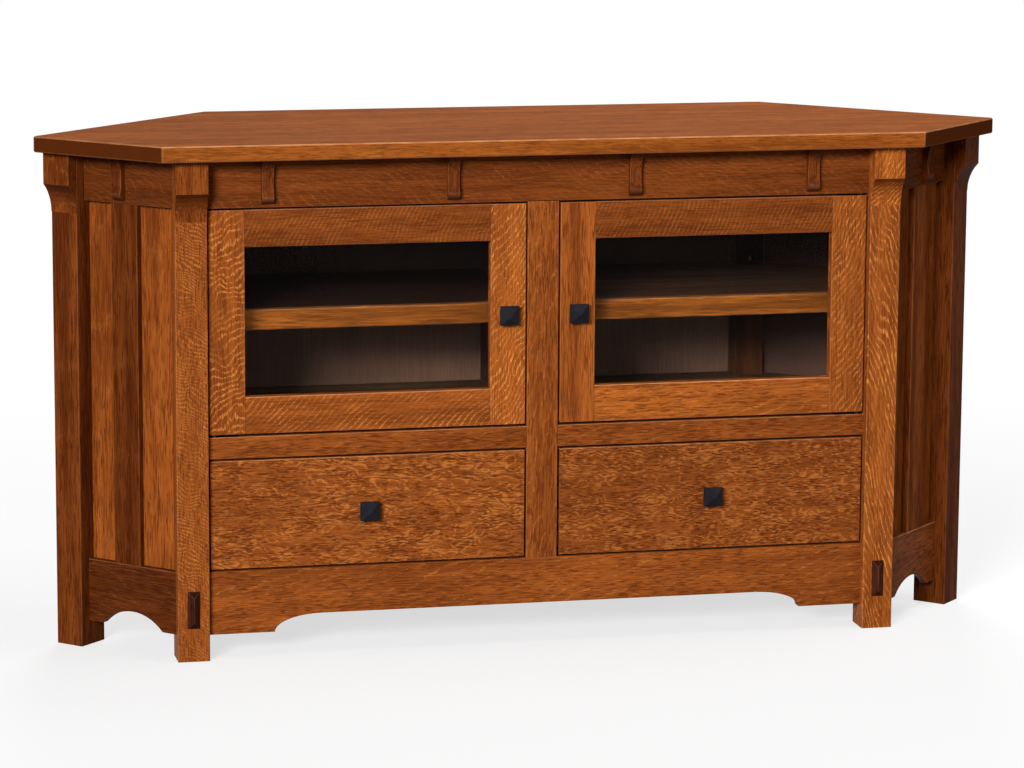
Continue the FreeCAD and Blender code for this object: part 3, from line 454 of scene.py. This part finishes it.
@cache
def wood_group():
    """Stained wood: streaks and fibres, ray flecks, dark pores, dark end grain, and rubbed arrises with a
    painted highlight on those that face up.
    """
    values = ("Tone", "Arris", "End") + FIGURE_INPUTS
    stains, shares = [(label, COLOUR) for label in STAINS], [(label, VALUE) for label in values]
    tree, given, out = group("stained_wood", [("Grain", VECTOR)] + stains + shares,
                             [("Color", COLOUR), ("Roughness", VALUE), ("Height", VALUE)])
    planks = placed_group(tree, planks_group(), given, ("Grain", "Planks"))
    grain = planks.outputs["Grain"]
    flecks = placed_group(tree, fleck_group(), given, FLECK_INPUTS, grain)
    pores = placed_group(tree, pore_group(), given, ("Dash",), grain).outputs["Pores"]
    wear_and_highlight = placed_group(tree, wear_and_highlight_group(), given, ("Arris",), grain).outputs["Wear"]
    fleck = times(tree, flecks.outputs["Fleck"], given["Fleck"])
    fibres = pattern_noise(tree, grain, FIBRES)
    broad = times(tree, patterned(tree, grain, STREAKS), given["Streak"])
    shade = maths(tree, "MULTIPLY_ADD", ramp(tree, fibres, FIBRES.start, FIBRES.end), FIBRE_SHADE, broad)
    colour = blended(tree, shade, given["Middle"], given["Dark"])
    colour = blended(tree, fleck, colour, given["Light"])
    colour = blended(tree, times(tree, pores, given["Pores"]), colour, given["Dark"])
    colour = blended(tree, times(tree, given["End"], END_STAIN), colour, given["Dark"])
    # Arrises go to a lighter stain: partly rubbed stain, partly a painted highlight.
    colour = blended(tree, wear_and_highlight, colour, given["Worn"])
    end_tone = maths(tree, "MULTIPLY_ADD", given["End"], -END_SHADE, 1.0)
    board_tone = times(tree, given["Tone"], end_tone)
    tone = times(tree, board_tone, planks.outputs["Lightness"])
    green_share = maths(tree, "MULTIPLY_ADD", tone, GREEN_FALL, 1.0 - GREEN_FALL)
    green = times(tree, tone, green_share)
    tree.links.new(scaled(tree, colour, vector(tree, tone, green, tone)), out["Color"])
    fibre_roughness = maths(tree, "MULTIPLY_ADD", fibres, FIBRE_ROUGHNESS, PLAIN_ROUGHNESS)
    tree.links.new(maths(tree, "MULTIPLY_ADD", fleck, -FLECK_GLOSS, fibre_roughness), out["Roughness"])
    fibre_height = times(tree, fibres, FIBRE_RISE)
    tree.links.new(maths(tree, "MULTIPLY_ADD", pores, -PORE_DEPTH, fibre_height), out["Height"])
    return tree


def placed_group(tree, inner, given, labels, grain=None):
    """A group node in a tree, with the named inputs passed on to it and its grain linked."""
    node = add(tree, "ShaderNodeGroup", node_tree=inner)
    for label in labels:
        tree.links.new(given[label], node.inputs[label])
    if grain is not None:
        tree.links.new(grain, node.inputs["Grain"])
    return node


def empty_material(name):
    """A new material with nothing but its output, and that output's surface socket."""
    made = bpy.data.materials.new(name)
    made.use_nodes = True
    made.node_tree.nodes.clear()
    return made, made.node_tree, made.node_tree.nodes.new("ShaderNodeOutputMaterial").inputs["Surface"]


# Colours of a wooden finish, from its darkest to where an arris is rubbed and carries a painted highlight,
# and how much its surface mirrors.
Finish = namedtuple("Finish", "dark middle light worn shine")
FINISHES = {
    "oak_top": Finish(
        (0.11, 0.026, 0.0045), (0.312, 0.084, 0.0135), (0.6, 0.215, 0.043), (0.58, 0.27, 0.12), 0.0015),
    "edge_oak": Finish(
        (0.09, 0.026, 0.003), (0.3, 0.098, 0.011), (0.56, 0.24, 0.045), (0.45, 0.22, 0.09), 0.02),
    "case_oak": Finish(
        (0.022, 0.01, 0.006), (0.05, 0.024, 0.014), (0.085, 0.042, 0.022), (0.1, 0.05, 0.03), 0.001),
    "plywood": Finish(
        (0.092, 0.048, 0.03), (0.178, 0.102, 0.065), (0.26, 0.155, 0.1), (0.3, 0.18, 0.12), 0.02),
    "rear_oak": Finish(
        (0.045, 0.015, 0.005), (0.115, 0.038, 0.013), (0.2, 0.08, 0.03), (0.25, 0.11, 0.05), 0.02),
    "drawer_wood": Finish(
        (0.36, 0.19, 0.075), (0.58, 0.36, 0.16), (0.72, 0.5, 0.27), (0.75, 0.55, 0.33), 0.2),
    "dark_plug_wood": Finish(
        (0.014, 0.004, 0.002), (0.05, 0.013, 0.0055), (0.1, 0.03, 0.012), (0.26, 0.105, 0.06), 0.02),
}
OAK_SHINES = {"oak": 0.03, "wall_oak": 0.01}
WOOD_BUMP = 0.35
WOOD_DEPTH = 0.0004


def finish_of(name):
    """The finish of that name. The oak outside takes its colours from the settings."""
    if name in FINISHES:
        return FINISHES[name]
    oak = bpy.context.scene.cabinet_oak
    return Finish(oak.dark, oak.middle, oak.light, oak.worn, OAK_SHINES[name])


def opaque(colour):
    """A colour with full alpha."""
    return (*colour, 1)


@cache
def wood_material(finish_name, figure_name, on_object=False):
    """Stained wood of one finish and one figure, on the boards' own grain or on Object coordinates."""
    figure = FIGURES[figure_name]
    finish = finish_of(finish_name)
    made, tree, surface = empty_material(finish_name + "_" + figure_name + ("_fitted" if on_object else ""))
    wood = add(tree, "ShaderNodeGroup", node_tree=wood_group())
    if on_object:
        tree.links.new(add(tree, "ShaderNodeTexCoord").outputs["Object"], wood.inputs["Grain"])
    else:
        grain = add(tree, "ShaderNodeAttribute", attribute_name="grain")
        tree.links.new(grain.outputs["Vector"], wood.inputs["Grain"])
        for label in ("Tone", "Arris", "End"):
            read = add(tree, "ShaderNodeAttribute", attribute_name=label.lower())
            tree.links.new(read.outputs["Fac"], wood.inputs[label])
    values = {label: getattr(figure, label.lower()) for label in FIGURE_INPUTS}
    values.update({label: opaque(getattr(finish, label.lower())) for label in STAINS})
    values["Tone"] = 1.0
    values["Angle"] = math.radians(figure.angle)
    values["Spacing"] = figure.spacing * bpy.context.scene.cabinet_oak.spacing
    for label, value in values.items():
        wood.inputs[label].default_value = value
    bump = add(tree, "ShaderNodeBump", {
        "Height": wood.outputs["Height"], "Strength": WOOD_BUMP, "Distance": WOOD_DEPTH})
    shader = add(tree, "ShaderNodeBsdfPrincipled", {
        "Base Color": wood.outputs["Color"], "Roughness": wood.outputs["Roughness"],
        "Normal": bump.outputs["Normal"], "Specular IOR Level": finish.shine})
    tree.links.new(shader.outputs[0], surface)
    return made


PANE_IOR = 1.08  # low, so that the pane mirrors little of the pale room


@cache
def glass_material():
    """A clear pane. Light passes through it, so that what stands behind it is lit."""
    tint = opaque(bpy.context.scene.cabinet_fittings.glass)
    made, tree, surface = empty_material("pane")
    pane = add(tree, "ShaderNodeBsdfPrincipled", {
        "Base Color": tint, "Roughness": 0.0, "Transmission Weight": 1.0, "IOR": PANE_IOR})
    clear = add(tree, "ShaderNodeBsdfTransparent", {"Color": tint})
    path = add(tree, "ShaderNodeLightPath")
    mixed = add(tree, "ShaderNodeMixShader", {
        0: path.outputs["Is Shadow Ray"], 1: pane.outputs[0], 2: clear.outputs[0]})
    tree.links.new(mixed.outputs[0], surface)
    return made


# A metal or plastic: its material's name, the setting that holds its colour, how metallic, rough and shiny it
# is, how often its surface changes in a metre, and how deep that goes, in metres.
Metal = namedtuple("Metal", "name setting metallic roughness shine often depth")
METALS = {
    "black_iron": Metal("blackened_iron", "iron", 0.0, 0.5, 0.02, 420, 0.0003),
    "brass": Metal("aged_brass", "brass", 0.6, 0.6, 0.05, 600, 0.0001),
    "steel": Metal("plain_steel", "steel", 1.0, 0.3, 0.5, 700, 0.0001),
    "brown_plastic": Metal("catch_plastic", "plastic", 0.0, 0.45, 0.3, 500, 0.0001),
}
CLOUD_SIZE = 6  # how much broader the duller clouds are than the fine changes
CLOUD_RANGE = (0.35, 0.65)  # the noise at which a cloud starts and is full
CLOUD_SHADE = 0.72
CLOUD_DETAIL = 2.0
METAL_BUMP = 0.4
METAL_DETAIL = 3.0
ROUGHNESS_RANGE = (0.2, 0.8)
SMOOTHER = 0.06
ROUGHER = 0.08


@cache
def metal_material(slot):
    """The metal or plastic of a slot, with a fine uneven surface."""
    metal = METALS[slot]
    colour = getattr(bpy.context.scene.cabinet_fittings, metal.setting)
    made, tree, surface = empty_material(metal.name)
    place = add(tree, "ShaderNodeTexCoord").outputs["Object"]
    uneven = noise(tree, place, metal.often, METAL_DETAIL)
    cloud = noise(tree, place, metal.often / CLOUD_SIZE, CLOUD_DETAIL)
    dull = opaque([share * CLOUD_SHADE for share in colour])
    tint = blended(tree, ramp(tree, cloud, *CLOUD_RANGE), opaque(colour), dull)
    roughness = ramp(tree, uneven, *ROUGHNESS_RANGE, metal.roughness - SMOOTHER, metal.roughness + ROUGHER)
    bump = add(tree, "ShaderNodeBump", {"Height": uneven, "Strength": METAL_BUMP, "Distance": metal.depth})
    shader = add(tree, "ShaderNodeBsdfPrincipled", {
        "Base Color": tint, "Metallic": metal.metallic, "Roughness": roughness,
        "Specular IOR Level": metal.shine, "Normal": bump.outputs["Normal"]})
    tree.links.new(shader.outputs[0], surface)
    return made


def all_surfaces():
    """A tree of every node's triangles, and the node that each triangle belongs to."""
    points, triangles, owners = [], [], []
    for name, node in frame["nodes"].items():
        first = len(points)
        points.extend(v.co for v in node.data.vertices)
        for face in node.data.polygons:
            triangles.append([first + i for i in face.vertices])
            owners.append(name)
    return BVHTree.FromPolygons(points, triangles), owners


SURFACES, OWNERS = all_surfaces()
TOUCH = 0.0003  # surfaces nearer than this touch
SAMPLE_SHARES = (0.1, 0.3, 0.5, 0.7, 0.9)  # places along an edge that are tried


def is_buried(edge, node):
    """True if most of an edge lies against another node, as at a joint between two boards."""
    start, end = (v.co for v in edge.verts)
    touching = 0
    for share in SAMPLE_SHARES:
        hits = SURFACES.find_nearest_range(start.lerp(end, share), TOUCH)
        touching += any(OWNERS[index] != node for _, _, index, _ in hits)
    return touching > len(SAMPLE_SHARES) / 2


ARRIS_ANGLE = math.radians(28)  # an edge that turns by less is no arris
SHORTEST_ARRIS = 0.0025
NARROW_FACE = 0.0032  # a face narrower than this is a chamfer
CURVE_FACET = math.radians(20)  # facets of a curve turn by less


def is_arris(edge):
    """True for an outward edge that is sharp and long enough to be eased."""
    return (edge.is_manifold and edge.is_convex and edge.calc_face_angle(0) > ARRIS_ANGLE
            and edge.calc_length() > SHORTEST_ARRIS)


SORT_DIGITS = 2  # boards are sorted to the centimetre


def islands(bm):
    """The separate boards of a mesh, from left to right and from the floor up, as lists of vertices."""
    seen, found = set(), []
    for first in bm.verts:
        if first in seen:
            continue
        seen.add(first)
        waiting, board = [first], []
        while waiting:
            vertex = waiting.pop()
            board.append(vertex)
            for other in (e.other_vert(vertex) for e in vertex.link_edges):
                if other not in seen:
                    seen.add(other)
                    waiting.append(other)
        found.append(board)
    return sorted(found, key=lambda board: [round(middle(board)[i], SORT_DIGITS) for i in (0, 2)])


def middle(board):
    """The centre of a board's box."""
    low = Vector(min(v.co[i] for v in board) for i in range(3))
    high = Vector(max(v.co[i] for v in board) for i in range(3))
    return (low + high) / 2


def grain_axes(way, centre):
    """Along, across and through a board, as the rows of a matrix."""
    x, y, z = Matrix.Identity(3)
    if way == UPRIGHT:
        return Matrix((z, x, y))
    if way == ACROSS:
        return Matrix((x, z, y))
    if way == BACKWARD:
        return Matrix((y, z, x))
    side = 1 if centre.x > 0 else -1
    along = Vector((side, 1, 0)).normalized()
    return Matrix((along, z, along.cross(z)))


def shade_by_kind(bm, arris_layer):
    """Smooth shading on eased arrises and on the facets of curves, and flat shading elsewhere."""
    for face in bm.faces:
        face.smooth = True
    for edge in bm.edges:
        kinds = [f[arris_layer] for f in edge.link_faces]
        angle = edge.calc_face_angle(math.pi)
        edge.smooth = (all(kinds) and angle < 2 * ARRIS_ANGLE) or (not any(kinds) and angle < CURVE_FACET)


# An arris loses this share of its stain however it faces. The rest, on arrises that face up, is a painted
# highlight for light from above.
LEAST_WEAR = 0.2


def wear_and_highlight_of(face):
    """How much of its stain an arris has lost, with a painted highlight added the more it faces up."""
    return LEAST_WEAR + (1 - LEAST_WEAR) * max(0, face.normal.z)


def ease(bm, edges, radius):
    """Round some edges, and give their new faces."""
    eased = bmesh.ops.bevel(bm, geom=edges, offset=radius, offset_type="OFFSET", segments=2, profile=0.5,
                            affect="EDGES", material=-1, clamp_overlap=True)
    bm.normal_update()
    return eased["faces"]


SAME_POINT = 0.00001
FLAT_ANGLE = math.radians(0.5)


def finished_boards(node, boards, width):
    """A copy of a node's boards with eased arrises and each board's own grain, which stands for the node."""
    bm = bmesh.new()
    bm.from_mesh(frame["nodes"][node].data)
    bmesh.ops.remove_doubles(bm, verts=bm.verts, dist=SAME_POINT)
    bmesh.ops.dissolve_limit(bm, angle_limit=FLAT_ANGLE, verts=bm.verts, edges=bm.edges)
    arris = bm.faces.layers.float.new("arris")
    bm.verts.layers.float_vector.new("grain")
    bm.verts.layers.float.new("tone")
    bm.faces.layers.float.new("end")
    chosen = [e for e in bm.edges if is_arris(e) and not is_buried(e, node)]
    # Eased arrises and narrow chamfers take rubbed stain, with a painted highlight where they face up.
    if chosen and width > 0:
        for face in ease(bm, chosen, width):
            face[arris] = wear_and_highlight_of(face)
    for face in bm.faces:
        if 2 * face.calc_area() / max(face.calc_perimeter(), TOUCH) < NARROW_FACE:
            face[arris] = wear_and_highlight_of(face)
    shade_by_kind(bm, arris)
    materials = []
    for number, board in enumerate(islands(bm)):
        figure = boards.figures[number % len(boards.figures)]
        material = wood_material(boards.finish, figure)
        if material not in materials:
            materials.append(material)
        set_grain(bm, board, boards, number, materials.index(material))
    # Inner faces of the bays get painted shade and painted light.
    if node in PAINTED_LIGHT_AND_SHADE_BELOW_SHELVES:
        paint_shade_in_bays(bm, node)
    piece_from(bm, node + "_finished", materials, node)


# Painted shade and painted light inside the bays, for how the light falls in through the panes: how much of
# its tone a face there keeps above the shelves, and below them on the left and right.
PAINTED_SHADE_ABOVE_SHELVES = 0.2
PAINTED_LIGHT_AND_SHADE_BELOW_SHELVES = {"rear_panel": (0.8, 0.8), "wall_panels": (1.8, 0.4), "rear_posts": (1.2, 0.85)}
SHELF_CUTS = (0.35, 0.65)  # heights of the two cuts behind a shelf, as shares of its thickness


def cut(bm, point, normal):
    """Cut a mesh along a plane, and keep both sides."""
    bmesh.ops.bisect_plane(bm, geom=bm.verts[:] + bm.edges[:] + bm.faces[:], plane_co=point, plane_no=normal)


def paint_shade_in_bays(bm, node):
    """Paint shade on inner faces above the shelves, and on each side below them paint the light and shade
    that the table gives. The shelves hide the change.
    """
    low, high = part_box("shelf_left")
    for share in SHELF_CUTS:
        cut(bm, low.lerp(high, share), (0, 0, 1))
    tone = bm.verts.layers.float["tone"]
    slant = 1 if node == "wall_panels" else 0
    outward = {vertex: vertex.co.y + slant * abs(vertex.co.x) for vertex in bm.verts}
    inner = min(outward.values())
    for vertex in bm.verts:
        if outward[vertex] < inner + TOUCH:
            upper = vertex.co.z > (low.z + high.z) / 2
            vertex[tone] *= PAINTED_SHADE_ABOVE_SHELVES if upper else PAINTED_LIGHT_AND_SHADE_BELOW_SHELVES[node][vertex.co.x > 0]


# How far each board's grain lies from the one before, in metres, so that no two show the same wood.
BOARD_SHIFT = Vector((1.37, 0.73, 2.11))
BOARD_NUMBERS = itertools.count(1)
END_GAIN = 2  # a face at 45 degrees to the grain already counts as end grain


def set_grain(bm, board, boards, number, slot):
    """Give a board its grain, its lightness and its material."""
    grain = bm.verts.layers.float_vector["grain"]
    tone = bm.verts.layers.float["tone"]
    end = bm.faces.layers.float["end"]
    centre = middle(board)
    axes = grain_axes(boards.grain, centre)
    offset = BOARD_SHIFT * next(BOARD_NUMBERS)
    for vertex in board:
        vertex[grain] = axes @ (vertex.co - centre) + offset
        vertex[tone] = boards.tones[number % len(boards.tones)]
        for face in vertex.link_faces:
            face.material_index = slot
            face[end] = min(1, END_GAIN * face.normal.dot(axes[0]) ** 2)


def linked(name, data):
    """A new object in the scene."""
    made = bpy.data.objects.new(name, data)
    bpy.context.scene.collection.objects.link(made)
    return made


def object_from(bm, name, materials):
    """An object from a mesh under construction."""
    mesh = bpy.data.meshes.new(name)
    bm.to_mesh(mesh)
    bm.free()
    for material in materials:
        mesh.materials.append(material)
    return linked(name, mesh)


def piece_from(bm, name, materials, node):
    """A piece that stands for a node, rides with its body and takes its finish."""
    piece = object_from(bm, name, materials)
    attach(piece, body_of_node(node))
    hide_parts(node)


def body_of_node(node):
    """The body that a node is on."""
    bodies = frame["record"]["behaviour"]["bodies"]
    return next(body for body in bodies if node in bodies[body])


def finish_nodes(nodes, width):
    """Finish each node of a table, with its arrises eased by a width."""
    for node, boards in nodes.items():
        finished_boards(node, boards, width)


def paint(node, material):
    """Give a node that keeps its own shape its material."""
    mesh = frame["nodes"][node].data
    mesh.materials.clear()
    mesh.materials.append(material)


class CABINET_OT_top(bpy.types.Operator):
    """Finish the top"""
    bl_idname = "cabinet.top"
    bl_label = "Top"

    def execute(self, context):
        finish_nodes(TOP, context.scene.cabinet_oak.chamfer_arris)
        return {"FINISHED"}


class CABINET_OT_posts(bpy.types.Operator):
    """Finish the posts and their brackets"""
    bl_idname = "cabinet.posts"
    bl_label = "Posts"

    def execute(self, context):
        oak = context.scene.cabinet_oak
        finish_nodes(POSTS, oak.chamfer_arris)
        finish_nodes(BRACKETS, oak.arris)
        return {"FINISHED"}


class CABINET_OT_front(bpy.types.Operator):
    """Finish the frieze, the apron, the centre stile, the rails, the corbels and the plugs"""
    bl_idname = "cabinet.front"
    bl_label = "Front"

    def execute(self, context):
        oak = context.scene.cabinet_oak
        finish_nodes(FRONT, oak.arris)
        finish_nodes(PLUGS, oak.chamfer_arris)
        return {"FINISHED"}


class CABINET_OT_sides(bpy.types.Operator):
    """Finish the canted sides"""
    bl_idname = "cabinet.sides"
    bl_label = "Canted sides"

    def execute(self, context):
        finish_nodes(SIDES, context.scene.cabinet_oak.arris)
        return {"FINISHED"}


class CABINET_OT_case(bpy.types.Operator):
    """Finish the decks, dividers, panels, shelves and runners"""
    bl_idname = "cabinet.case"
    bl_label = "Case"

    def execute(self, context):
        finish_nodes(CASE, context.scene.cabinet_oak.arris)
        paint("shelf_pins", metal_material("steel"))
        paint("magnet_catches", metal_material("brown_plastic"))
        paint("frame_hinge_leaves", metal_material("brass"))
        return {"FINISHED"}


class CABINET_OT_doors(bpy.types.Operator):
    """Finish the doors, their glass and their fittings"""
    bl_idname = "cabinet.doors"
    bl_label = "Doors"

    def execute(self, context):
        finish_nodes(DOORS, context.scene.cabinet_oak.arris)
        for side in ("left", "right"):
            paint("door_glass_" + side, glass_material())
            paint("glazing_beads_" + side, wood_material("oak", "straight", on_object=True))
            paint("door_hinge_leaves_" + side, metal_material("brass"))
            paint("strike_plate_" + side, metal_material("steel"))
            make_knob("door_knob_" + side)
        return {"FINISHED"}


class CABINET_OT_drawers(bpy.types.Operator):
    """Finish the drawers and their knobs"""
    bl_idname = "cabinet.drawers"
    bl_label = "Drawers"

    def execute(self, context):
        finish_nodes(DRAWERS, context.scene.cabinet_oak.arris)
        for side in ("left", "right"):
            make_knob("drawer_knob_" + side)
        return {"FINISHED"}


def facing(bm, way):
    """The face of a mesh that faces a way most squarely."""
    return max(bm.faces, key=lambda f: f.normal.dot(way))


def inset(bm, face, margin):
    """Set a smaller face into a face."""
    bmesh.ops.inset_region(bm, faces=[face], thickness=margin, use_even_offset=True, use_boundary=True)


def pull(bm, faces, way):
    """Extrude faces some way, and leave none where they were."""
    grown = bmesh.ops.extrude_face_region(bm, geom=faces)
    moved = [v for v in grown["geom"] if isinstance(v, bmesh.types.BMVert)]
    bmesh.ops.translate(bm, verts=moved, vec=way)
    bmesh.ops.delete(bm, geom=faces, context="FACES_ONLY")


def make_knob(node):
    """A pyramid knob on a square neck, and the head of the screw that holds it from behind."""
    fittings = bpy.context.scene.cabinet_fittings
    low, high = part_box(node)
    width = high.x - low.x
    centre = (low + high) / 2
    board = node.replace("door_knob", "door_stiles").replace("drawer_knob", "drawer_front")
    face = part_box(board)[0].y
    rim_back = face - fittings.neck_length
    rim_front = rim_back - fittings.rim
    backward = Vector((0, 1, 0))
    forward = -backward
    bm = bmesh.new()
    place = Matrix.Translation((centre.x, (rim_back + rim_front) / 2, centre.z))
    size = Matrix.Diagonal((width, fittings.rim, width, 1))
    bmesh.ops.create_cube(bm, size=1.0, matrix=place @ size)
    bm.normal_update()
    front = facing(bm, forward)
    inset(bm, front, (width - fittings.tip) / 2)
    bmesh.ops.translate(bm, verts=front.verts, vec=forward * (rim_front - low.y))
    bm.normal_update()
    back = facing(bm, backward)
    inset(bm, back, (width - fittings.neck_width) / 2)
    pull(bm, [back], backward * fittings.neck_length)
    bm.normal_update()
    ease(bm, [e for e in bm.edges if e.is_convex and e.calc_face_angle(0) > ARRIS_ANGLE], fittings.edge)
    piece_from(bm, node + "_cast", [metal_material("black_iron")], node)
    make_screw_head(node, Vector((centre.x, high.y, centre.z)))


SCREW_SIDES = 32
SCREW_TAPER = 0.8
SLOT_WIDTH = 0.12  # of the head's
SLOT_DEPTH = 0.4  # of the head's height
CAP_NORMAL = 0.9  # the least that the head's flat faces point backwards


def make_screw_head(node, tip):
    """A slotted round head, seated on the back of the board."""
    fittings = bpy.context.scene.cabinet_fittings
    radius = fittings.screw_width / 2
    bm = bmesh.new()
    turn = Matrix.Rotation(math.radians(-90), 4, "X")
    centre = tip - Vector((0, fittings.screw_head / 2, 0))
    bmesh.ops.create_cone(
        bm, cap_ends=True, segments=SCREW_SIDES, radius1=radius, radius2=radius * SCREW_TAPER,
        depth=fittings.screw_head, matrix=Matrix.Translation(centre) @ turn)
    bm.normal_update()
    slot_half = radius * SLOT_WIDTH
    for side in (-1, 1):
        cut(bm, tip + Vector((side * slot_half, 0, 0)), (1, 0, 0))
    bm.normal_update()
    strip = [f for f in bm.faces
             if f.normal.y > CAP_NORMAL and abs(f.calc_center_median().x - tip.x) < slot_half]
    pull(bm, strip, (0, -fittings.screw_head * SLOT_DEPTH, 0))
    bmesh.ops.recalc_face_normals(bm, faces=bm.faces)
    screw = object_from(bm, node + "_screw", [metal_material("steel")])
    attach(screw, body_of_node(node))


# A lamp: its place, the point that it faces, and its width and height, in metres. A setting holds its power.
Lamp = namedtuple("Lamp", "place target size")
CABINET_MIDDLE = (0, 0, 0.42)
LAMPS = {
    "key": Lamp((-5.0, -8.1, 3.7), CABINET_MIDDLE, (3.4, 2.0)),
    "overhead": Lamp((1.5, -0.3, 3.5), (0, 0, 0.8), (2.2, 1.2)),
    "fill": Lamp((3.6, -3.6, 1.6), CABINET_MIDDLE, (2.0, 2.0)),
    "rear": Lamp((1.2, 5.4, 5.0), CABINET_MIDDLE, (2.6, 2.0)),
}


def set_lamp(name, place, target, size, power):
    """A large soft lamp that faces a point."""
    light = bpy.data.lights.new(name, "AREA")
    light.shape = "RECTANGLE"
    light.size, light.size_y = size
    light.energy = power
    holder = linked(name, light)
    holder.location = place
    holder.rotation_mode = "QUATERNION"
    holder.rotation_quaternion = (Vector(target) - Vector(place)).to_track_quat("-Z", "Y")


def seen_ray(tree):
    """1 for what the camera sees, straight, mirrored or through glass, and 0 for light on the object."""
    path = add(tree, "ShaderNodeLightPath").outputs
    either = maths(tree, "MAXIMUM", path["Is Camera Ray"], path["Is Glossy Ray"])
    return maths(tree, "MAXIMUM", either, path["Is Transmission Ray"])


WHITE = (1, 1, 1, 1)
FLOOR_RADIUS = 40
FLOOR_SIDES = 64
FLOOR_ROUGHNESS = 0.9


def floor_material():
    """A pale floor, lifted towards white where it is seen."""
    stage = bpy.context.scene.cabinet_stage
    made, tree, surface = empty_material("floor")
    seen = seen_ray(tree)
    colour = blended(tree, seen, opaque(stage.floor_bounce), opaque(stage.floor))
    plain = add(tree, "ShaderNodeBsdfPrincipled", {
        "Base Color": colour, "Roughness": FLOOR_ROUGHNESS, "Specular IOR Level": 0.0})
    white = add(tree, "ShaderNodeEmission", {"Color": WHITE, "Strength": 1.0})
    place = add(tree, "ShaderNodeTexCoord").outputs["Object"]
    distance = add(tree, "ShaderNodeVectorMath", {0: place}, operation="LENGTH").outputs["Value"]
    white_share = ramp(tree, distance, stage.floor_near, stage.floor_far, stage.floor_white, 1.0)
    share = times(tree, seen, white_share)
    mixed = add(tree, "ShaderNodeMixShader", {0: share, 1: plain.outputs[0], 2: white.outputs[0]})
    tree.links.new(mixed.outputs[0], surface)
    return made


class CABINET_OT_stage(bpy.types.Operator):
    """Set the camera, the lamps, the floor and the white surroundings"""
    bl_idname = "cabinet.stage"
    bl_label = "Stage"

    def execute(self, context):
        stage = context.scene.cabinet_stage
        set_camera(context.scene, stage)
        for name, lamp in LAMPS.items():
            set_lamp(name, *lamp, getattr(stage, name))
        bm = bmesh.new()
        bmesh.ops.create_circle(bm, cap_ends=True, segments=FLOOR_SIDES, radius=FLOOR_RADIUS)
        floor = object_from(bm, "floor", [floor_material()])
        set_world(context.scene, stage)
        context.scene.view_settings.view_transform = "Standard"
        return {"FINISHED"}


SENSOR_WIDTH = 36  # millimetres
FARTHEST_SEEN = 100


def set_camera(scene, stage):
    """The camera at the photograph's place and angle."""
    yaw, pitch, roll = stage.yaw, stage.pitch, stage.roll
    ahead = Vector((math.sin(yaw) * math.cos(pitch), math.cos(yaw) * math.cos(pitch), -math.sin(pitch)))
    right = Vector((math.cos(yaw), -math.sin(yaw), 0))
    up = right.cross(ahead)
    rolled_right = right * math.cos(roll) + up * math.sin(roll)
    rolled_up = up * math.cos(roll) - right * math.sin(roll)
    data = bpy.data.cameras.new("camera")
    data.sensor_width = SENSOR_WIDTH
    data.lens = stage.focal
    data.shift_y = stage.shift
    data.clip_end = FARTHEST_SEEN
    camera = linked("camera", data)
    turn = Matrix((rolled_right, rolled_up, -ahead)).transposed().to_4x4()
    camera.matrix_world = Matrix.Translation(Vector(stage.camera_place)) @ turn
    scene.camera = camera


def set_world(scene, stage):
    """Soft light from all round, and white where the surroundings are seen."""
    world = bpy.data.worlds.new("room")
    world.use_nodes = True
    tree = world.node_tree
    tree.nodes.clear()
    strength = ramp(tree, seen_ray(tree), 0.0, 1.0, stage.sky, 1.0)
    light = add(tree, "ShaderNodeBackground", {"Color": WHITE, "Strength": strength})
    output = tree.nodes.new("ShaderNodeOutputWorld")
    tree.links.new(light.outputs[0], output.inputs["Surface"])
    scene.world = world


OPERATORS = (CABINET_OT_top, CABINET_OT_posts, CABINET_OT_front, CABINET_OT_sides, CABINET_OT_case,
             CABINET_OT_doors, CABINET_OT_drawers, CABINET_OT_stage)


class CABINET_PT_panel(bpy.types.Panel):
    """Lists the settings and the steps of the finish"""
    bl_idname = "CABINET_PT_panel"
    bl_label = "Corner cabinet"
    bl_space_type = "VIEW_3D"
    bl_region_type = "UI"
    bl_category = "Cabinet"

    def draw(self, context):
        scene = context.scene
        for settings in (scene.cabinet_oak, scene.cabinet_fittings, scene.cabinet_stage):
            box = self.layout.box()
            for name in type(settings).__annotations__:
                box.prop(settings, name)
        for operator in OPERATORS:
            self.layout.operator(operator.bl_idname)


CLASSES = (OakSettings, FittingSettings, StageSettings) + OPERATORS + (CABINET_PT_panel,)


def register():
    for each in CLASSES:
        bpy.utils.register_class(each)
    bpy.types.Scene.cabinet_oak = PointerProperty(type=OakSettings)
    bpy.types.Scene.cabinet_fittings = PointerProperty(type=FittingSettings)
    bpy.types.Scene.cabinet_stage = PointerProperty(type=StageSettings)


def unregister():
    del bpy.types.Scene.cabinet_stage
    del bpy.types.Scene.cabinet_fittings
    del bpy.types.Scene.cabinet_oak
    for each in reversed(CLASSES):
        bpy.utils.unregister_class(each)


def main():
    register()
    bpy.ops.cabinet.top()
    bpy.ops.cabinet.posts()
    bpy.ops.cabinet.front()
    bpy.ops.cabinet.sides()
    bpy.ops.cabinet.case()
    bpy.ops.cabinet.doors()
    bpy.ops.cabinet.drawers()
    bpy.ops.cabinet.stage()


if __name__ == "__main__":
    main()
